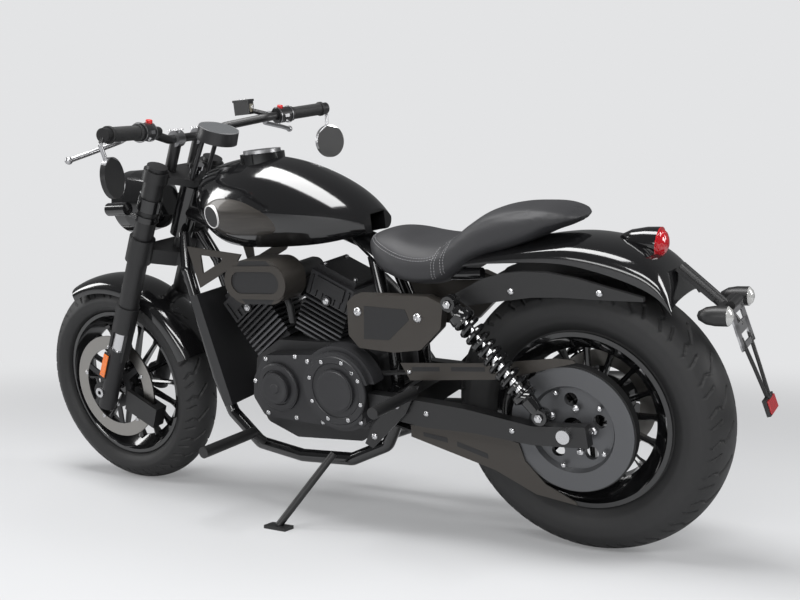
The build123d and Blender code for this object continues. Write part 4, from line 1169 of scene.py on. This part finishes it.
# turned forms, as (distance along, radius)
BADGE = [(-6, 0), (-6, 27), (3.2, 27), (3.2, 0)]
BADGE_RING = [(-6, 26.8), (-6, 29), (3.4, 29), (4.0, 28.4), (4.0, 27.4), (3.4, 26.8), (-6, 26.8)]
CLUTCH_RING = [(170, 84), (172.6, 84), (175.4, 82), (175.4, 68), (173.6, 66), (171, 66), (170, 84)]
CLUTCH_CAP = [(178, 0), (178, 50), (181.5, 48), (182.2, 40), (180.6, 36), (180.6, 0)]
STARTER_CAP = [(148, 0), (148, 39), (152, 37), (152.6, 30), (150.6, 26), (150.6, 13), (153, 11), (153, 0)]
STARTER_RING = [(136, 60), (138.6, 60), (140.4, 58), (140.4, 46), (137, 44), (136, 60)]
INTAKE_BODY = [(-62, 0), (-62, 24), (-50, 27), (60, 27), (84, 33), (84, 0)]
ROCKER_SHAFT = [(-76, 0), (-76, 13), (76, 13), (76, 0)]


def tank_insert(side):
    """The brushed insert: a grid between its two edges, laid on the tank's skin and lifted from it by
    4.4 (sin(pi k) sin(pi f)) ^ 0.35 - 2, at most 1.6, for the shares k along and f across."""
    points = []
    for k, (x, low, high) in enumerate(smooth_rows(INSERT, INSERT_ROWS)):
        along = math.sin(math.pi * k / (INSERT_ROWS - 1)) ** 0.35
        for f in np.linspace(0, 1, INSERT_COLUMNS):
            spot, way = skin_spot("fuel_tank", x, low + (high - low) * f, side)
            lift = -2.0 + 4.4 * (along * math.sin(math.pi * f) ** 0.35 if 0 < f < 1 else 0)
            points.append(spot + way * min(lift, 1.6))
    return np.array(points), grid_faces(INSERT_ROWS, INSERT_COLUMNS, wrap_rows=False)


def cylinder_heads():
    """The rocker covers, ribs and rocker shafts of both heads, and the rows of their screws."""
    heads, bolts = [], []
    for tilt in CYLINDER_TILTS:
        lean = turn_y(tilt)
        at = lambda along, side, up: ENGINE + lean @ np.array([along, side, up])
        heads += [box_mesh((112, 112, 20), at(0, 0, 306), lean), box_mesh((84, 150, 34), at(0, 0, 276), lean)]
        heads += [box_mesh((5, 148, 52), at(a, 0, 266), lean) for a in np.arange(-54, 55, 18)]
        heads.append(lathe(ROCKER_SHAFT, at(0, 0, 244), SIDE, 24))
        bolts += [("socket", *at(a, y, 316), lean[:, 2], 5.5, 5) for a in (-46, 46) for y in (-46, 46)]
        bolts.append(("hex", *at(0, 76, 244), LEFT, 9, 5))
    return together(heads), screws(bolts)


def stadium():
    """The outline of the air cleaner's face: two half circles of 17 points, joined by straight sides."""
    t = np.linspace(-math.pi / 2, math.pi / 2, 17)
    ends = [np.stack([CLEANER_HALF * end + CLEANER_R * np.cos(a), CLEANER_R * np.sin(a)], axis=1)
            for end, a in ((1, t), (-1, t + math.pi))]
    return np.concatenate(ends)


class MOTO_OT_trim(bpy.types.Operator):
    """Adds the tank's inserts and blank badge, the plates beside the head, the heads, the intake, the
    engine's rounds, the radiator's fins and the fork's straps"""

    bl_idname = "moto.trim"
    bl_label = "Trim"

    def execute(self, context):
        add_mesh("tank_inserts", *together([tank_insert(1), tank_insert(-1)]), "brushed_bronze", "chassis")
        spot, way = skin_spot("fuel_tank", *BADGE_AT)
        add_mesh("tank_badge", *lathe(BADGE, spot, way, 48), "black_plastic", "chassis")
        add_mesh("tank_badge_ring", *lathe(BADGE_RING, spot, way, 48), "white_print", "chassis")
        gussets = mirrored(window_slab(GUSSET, GUSSET_HOLE, 100, 105))
        plates = together([gussets, slab(LOWER_GUARD, 118.5, 121.5)])
        add_mesh("bronze_plates", *plates, "bronze_metal", "chassis", 0)
        slots = [slab(outline, 124.5, 125.4) for outline in UPPER_SLOTS]
        slots += [slab(outline, 121, 121.9) for outline in LOWER_SLOTS]
        slots.append(mirrored(slab(WEDGE, 147, 148.7)))
        add_mesh("dark_slots", *together(slots), "cast_black", "chassis", 0)
        intake = [lathe(INTAKE_BODY, (745, 0, 628), SIDE, 32),
                  box_mesh((70, 96, 40), (748, 10, 600), turn_y(-6)),
                  tube([(720, 96, 520), (716, 104, 560), (738, 92, 606)], 9, 14)]
        add_mesh("intake", *together(intake), "satin_black", "chassis")
        heads, bolts = cylinder_heads()
        add_mesh("head_covers", *heads, "cast_black", "chassis", 0)
        add_mesh("head_screws", *bolts, "zinc_steel", "chassis")
        turn = turn_y(RADIATOR_TILT)
        fins = [box_mesh((2.2, 0.9, 290), RADIATOR + turn @ np.array([14.6, y, 0]), turn)
                for y in np.arange(-112, 112.1, 4.0)]
        add_mesh("radiator_fins", *together(fins), "charcoal_metal", "chassis", 0)
        rounds = [lathe(CLUTCH_RING, CLUTCH, SIDE, 96), lathe(CLUTCH_CAP, CLUTCH, SIDE, 80),
                  lathe(STARTER_CAP, STARTER, SIDE, 72), lathe(STARTER_RING, STARTER, SIDE, 80)]
        add_mesh("cover_rounds", *together(rounds), "charcoal_metal", "chassis")
        face, lip = stadium() + CLEANER, stadium() * [1.28, 1.5] + CLEANER
        lip_piece = window_slab(lip.tolist(), face.tolist(), 165, 169.5)
        add_mesh("air_cleaner_lip", *lip_piece, "bronze_metal", "chassis")
        add_mesh("air_cleaner_badge", *slab(face.tolist(), 165, 167), "cast_black", "chassis")
        straps = [box_mesh((9, 24, 140), fork(FORK_FWD + off, FORK_Y, 190), FORK_TURN) for off in (-25, 25)]
        straps.append(box_mesh((20, 4, 80), fork(54, 129, 90), FORK_TURN))
        add_mesh("fork_straps", *mirrored(together(straps)), "cast_black", "steering", 0)
        amber = mirrored(box_mesh((17, 4, 70), fork(54, 132, 90), FORK_TURN))
        add_mesh("fork_reflectors", *amber, "amber_lens", "steering", 0)
        return {"FINISHED"}


# ---------------------------------------------------------------- stage
CAMERA_AT = (-806.5, 2143.8, 649.2)                                     # from the ground below the rear axle
CAMERA_TURN = tuple(math.radians(a) for a in (-58.046, -2.44, -0.298))  # yaw, pitch, roll
FOCAL_PIXELS, FRAME_PIXELS, SENSOR = 1004.43, 800.0, 36.0
BACKDROP = (0.77, 0.775, 0.785, 1.0)
FLOOR_REACH = 16.0


def look_matrix():
    """Camera matrix: forward from yaw and pitch, then rolled about it."""
    yaw, pitch, roll = CAMERA_TURN
    ahead = Vector((math.cos(pitch) * math.cos(yaw), math.cos(pitch) * math.sin(yaw), math.sin(pitch)))
    right = ahead.cross(Vector((0, 0, 1))).normalized()
    up = right.cross(ahead)
    side = right * math.cos(roll) + up * math.sin(roll)
    top = up * math.cos(roll) - right * math.sin(roll)
    spot = (np.array(CAMERA_AT) - ORIGIN) / 1000
    rows = [(side[i], top[i], -ahead[i], spot[i]) for i in range(3)]
    return Matrix((*rows, (0, 0, 0, 1)))


def area_lamp(name, spot, aim, size, power):
    """A rectangular lamp that faces its aim; metres and watts."""
    lamp = bpy.data.lights.new(name, "AREA")
    lamp.shape, lamp.size, lamp.size_y, lamp.energy = "RECTANGLE", size[0], size[1], power
    holder = bpy.data.objects.new(name, lamp)
    holder.location = spot
    holder.rotation_euler = (Vector(aim) - Vector(spot)).to_track_quat("-Z", "Y").to_euler()
    bpy.context.scene.collection.objects.link(holder)


# name: (place, aim, size, power)
LAMPS = {
    "key_strip": ((-2.2, 3.2, 2.6), (0.0, 0.0, 0.5), (3.4, 0.7), 90),
    "overhead": ((0.3, 0.6, 3.4), (0.1, 0.0, 0.4), (3.0, 1.1), 120),
    "front_edge": ((3.6, 1.4, 1.9), (0.5, 0, 0.5), (1.0, 2.0), 60),
    "rear_edge": ((-3.4, -1.2, 2.0), (-0.5, 0, 0.5), (1.0, 2.0), 60),
    "low_fill": ((-0.6, 3.6, 0.7), (0.1, 0, 0.35), (2.6, 0.5), 28),
}


class MOTO_OT_stage(bpy.types.Operator):
    """Builds the floor, the room, the lamps and the camera"""

    bl_idname = "moto.stage"
    bl_label = "Stage"

    def execute(self, context):
        scene = context.scene
        scene.view_settings.view_transform = "Standard"
        world = bpy.data.worlds.new("pale_room")
        scene.world = world
        world.use_nodes = True
        tree = world.node_tree
        room = tree.nodes["Background"]
        room.inputs["Color"].default_value = (0.80, 0.81, 0.82, 1.0)
        room.inputs["Strength"].default_value = 0.18
        backdrop = tree.nodes.new("ShaderNodeBackground")
        backdrop.inputs["Color"].default_value = BACKDROP
        backdrop.inputs["Strength"].default_value = 1.0
        path, mix = tree.nodes.new("ShaderNodeLightPath"), tree.nodes.new("ShaderNodeMixShader")
        tree.links.new(path.outputs["Is Camera Ray"], mix.inputs["Fac"])
        tree.links.new(room.outputs[0], mix.inputs[1])
        tree.links.new(backdrop.outputs[0], mix.inputs[2])
        tree.links.new(mix.outputs[0], tree.nodes["World Output"].inputs["Surface"])
        floor = bpy.data.meshes.new("floor")
        square = [(x * FLOOR_REACH, y * FLOOR_REACH, 0) for x, y in ((-1, -1), (1, -1), (1, 1), (-1, 1))]
        floor.from_pydata(square, [], [(0, 1, 2, 3)])
        floor.materials.append(self.floor_material())
        ground = bpy.data.objects.new("floor", floor)
        scene.collection.objects.link(ground)
        for name, (spot, aim, size, power) in LAMPS.items():
            area_lamp(name, spot, aim, size, power)
        lens = bpy.data.cameras.new("camera")
        lens.sensor_width, lens.lens = SENSOR, FOCAL_PIXELS / FRAME_PIXELS * SENSOR
        eye = bpy.data.objects.new("camera", lens)
        eye.matrix_world = look_matrix()
        scene.collection.objects.link(eye)
        scene.camera = eye
        return {"FINISHED"}

    @staticmethod
    def floor_material():
        """Pale grey; far from the machine it turns into the backdrop's own tone, for the camera alone."""
        made_finish = Finish("floor_grey", (0.56, 0.565, 0.575), 0.75)
        tree = made_finish.material.node_tree
        out = next(n for n in tree.nodes if n.type == "OUTPUT_MATERIAL")
        lit = out.inputs["Surface"].links[0].from_socket
        kinds = ("Emission", "LightPath", "MixShader")
        glow, path, mix = (tree.nodes.new("ShaderNode" + kind) for kind in kinds)
        glow.inputs["Color"].default_value = BACKDROP
        place = made_finish.place()
        far = (place.part(0) * place.part(0) + place.part(1) * place.part(1)) ** 0.5
        ramp = made_finish.add("ShaderNodeMapRange", {"interpolation_type": "SMOOTHERSTEP"},
                               {"Value": far, "From Min": 0.9, "From Max": 4.6, "To Min": 0.22, "To Max": 1.0})
        share = ramp * Wire(made_finish, path.outputs["Is Camera Ray"])
        tree.links.new(share.socket, mix.inputs["Fac"])
        tree.links.new(lit, mix.inputs[1])
        tree.links.new(glow.outputs[0], mix.inputs[2])
        tree.links.new(mix.outputs[0], out.inputs["Surface"])
        return made_finish.material


class MotoSettings(bpy.types.PropertyGroup):
    """What a user may change"""

    groove_depth: FloatProperty(name="Groove depth", description="Depth of the tread grooves", default=0.005,
                                min=0.0, max=0.01, subtype="DISTANCE", unit="LENGTH")
    groove_width: FloatProperty(name="Groove width", description="Width of the tread grooves", default=0.0055,
                                min=0.001, max=0.012, subtype="DISTANCE", unit="LENGTH")


OPERATORS = (MOTO_OT_finishes, MOTO_OT_tyres, MOTO_OT_wheels, MOTO_OT_seat, MOTO_OT_screws, MOTO_OT_controls,
             MOTO_OT_lamps, MOTO_OT_tail, MOTO_OT_trim, MOTO_OT_stage)


class MOTO_PT_panel(bpy.types.Panel):
    """Lists the settings and every operator"""

    bl_label = "Motorcycle"
    bl_space_type = "VIEW_3D"
    bl_region_type = "UI"
    bl_category = "Motorcycle"

    def draw(self, context):
        for name in MotoSettings.__annotations__:
            self.layout.prop(context.scene.moto, name)
        for operator in OPERATORS:
            self.layout.operator(operator.bl_idname)


CLASSES = (MotoSettings, *OPERATORS, MOTO_PT_panel)


def register():
    for cls in CLASSES:
        bpy.utils.register_class(cls)
    bpy.types.Scene.moto = PointerProperty(type=MotoSettings)


def unregister():
    del bpy.types.Scene.moto
    for cls in reversed(CLASSES):
        bpy.utils.unregister_class(cls)


def main():
    register()
    for operator in OPERATORS:
        group, name = operator.bl_idname.split(".")
        getattr(getattr(bpy.ops, group), name)()


if __name__ == "__main__":
    main()
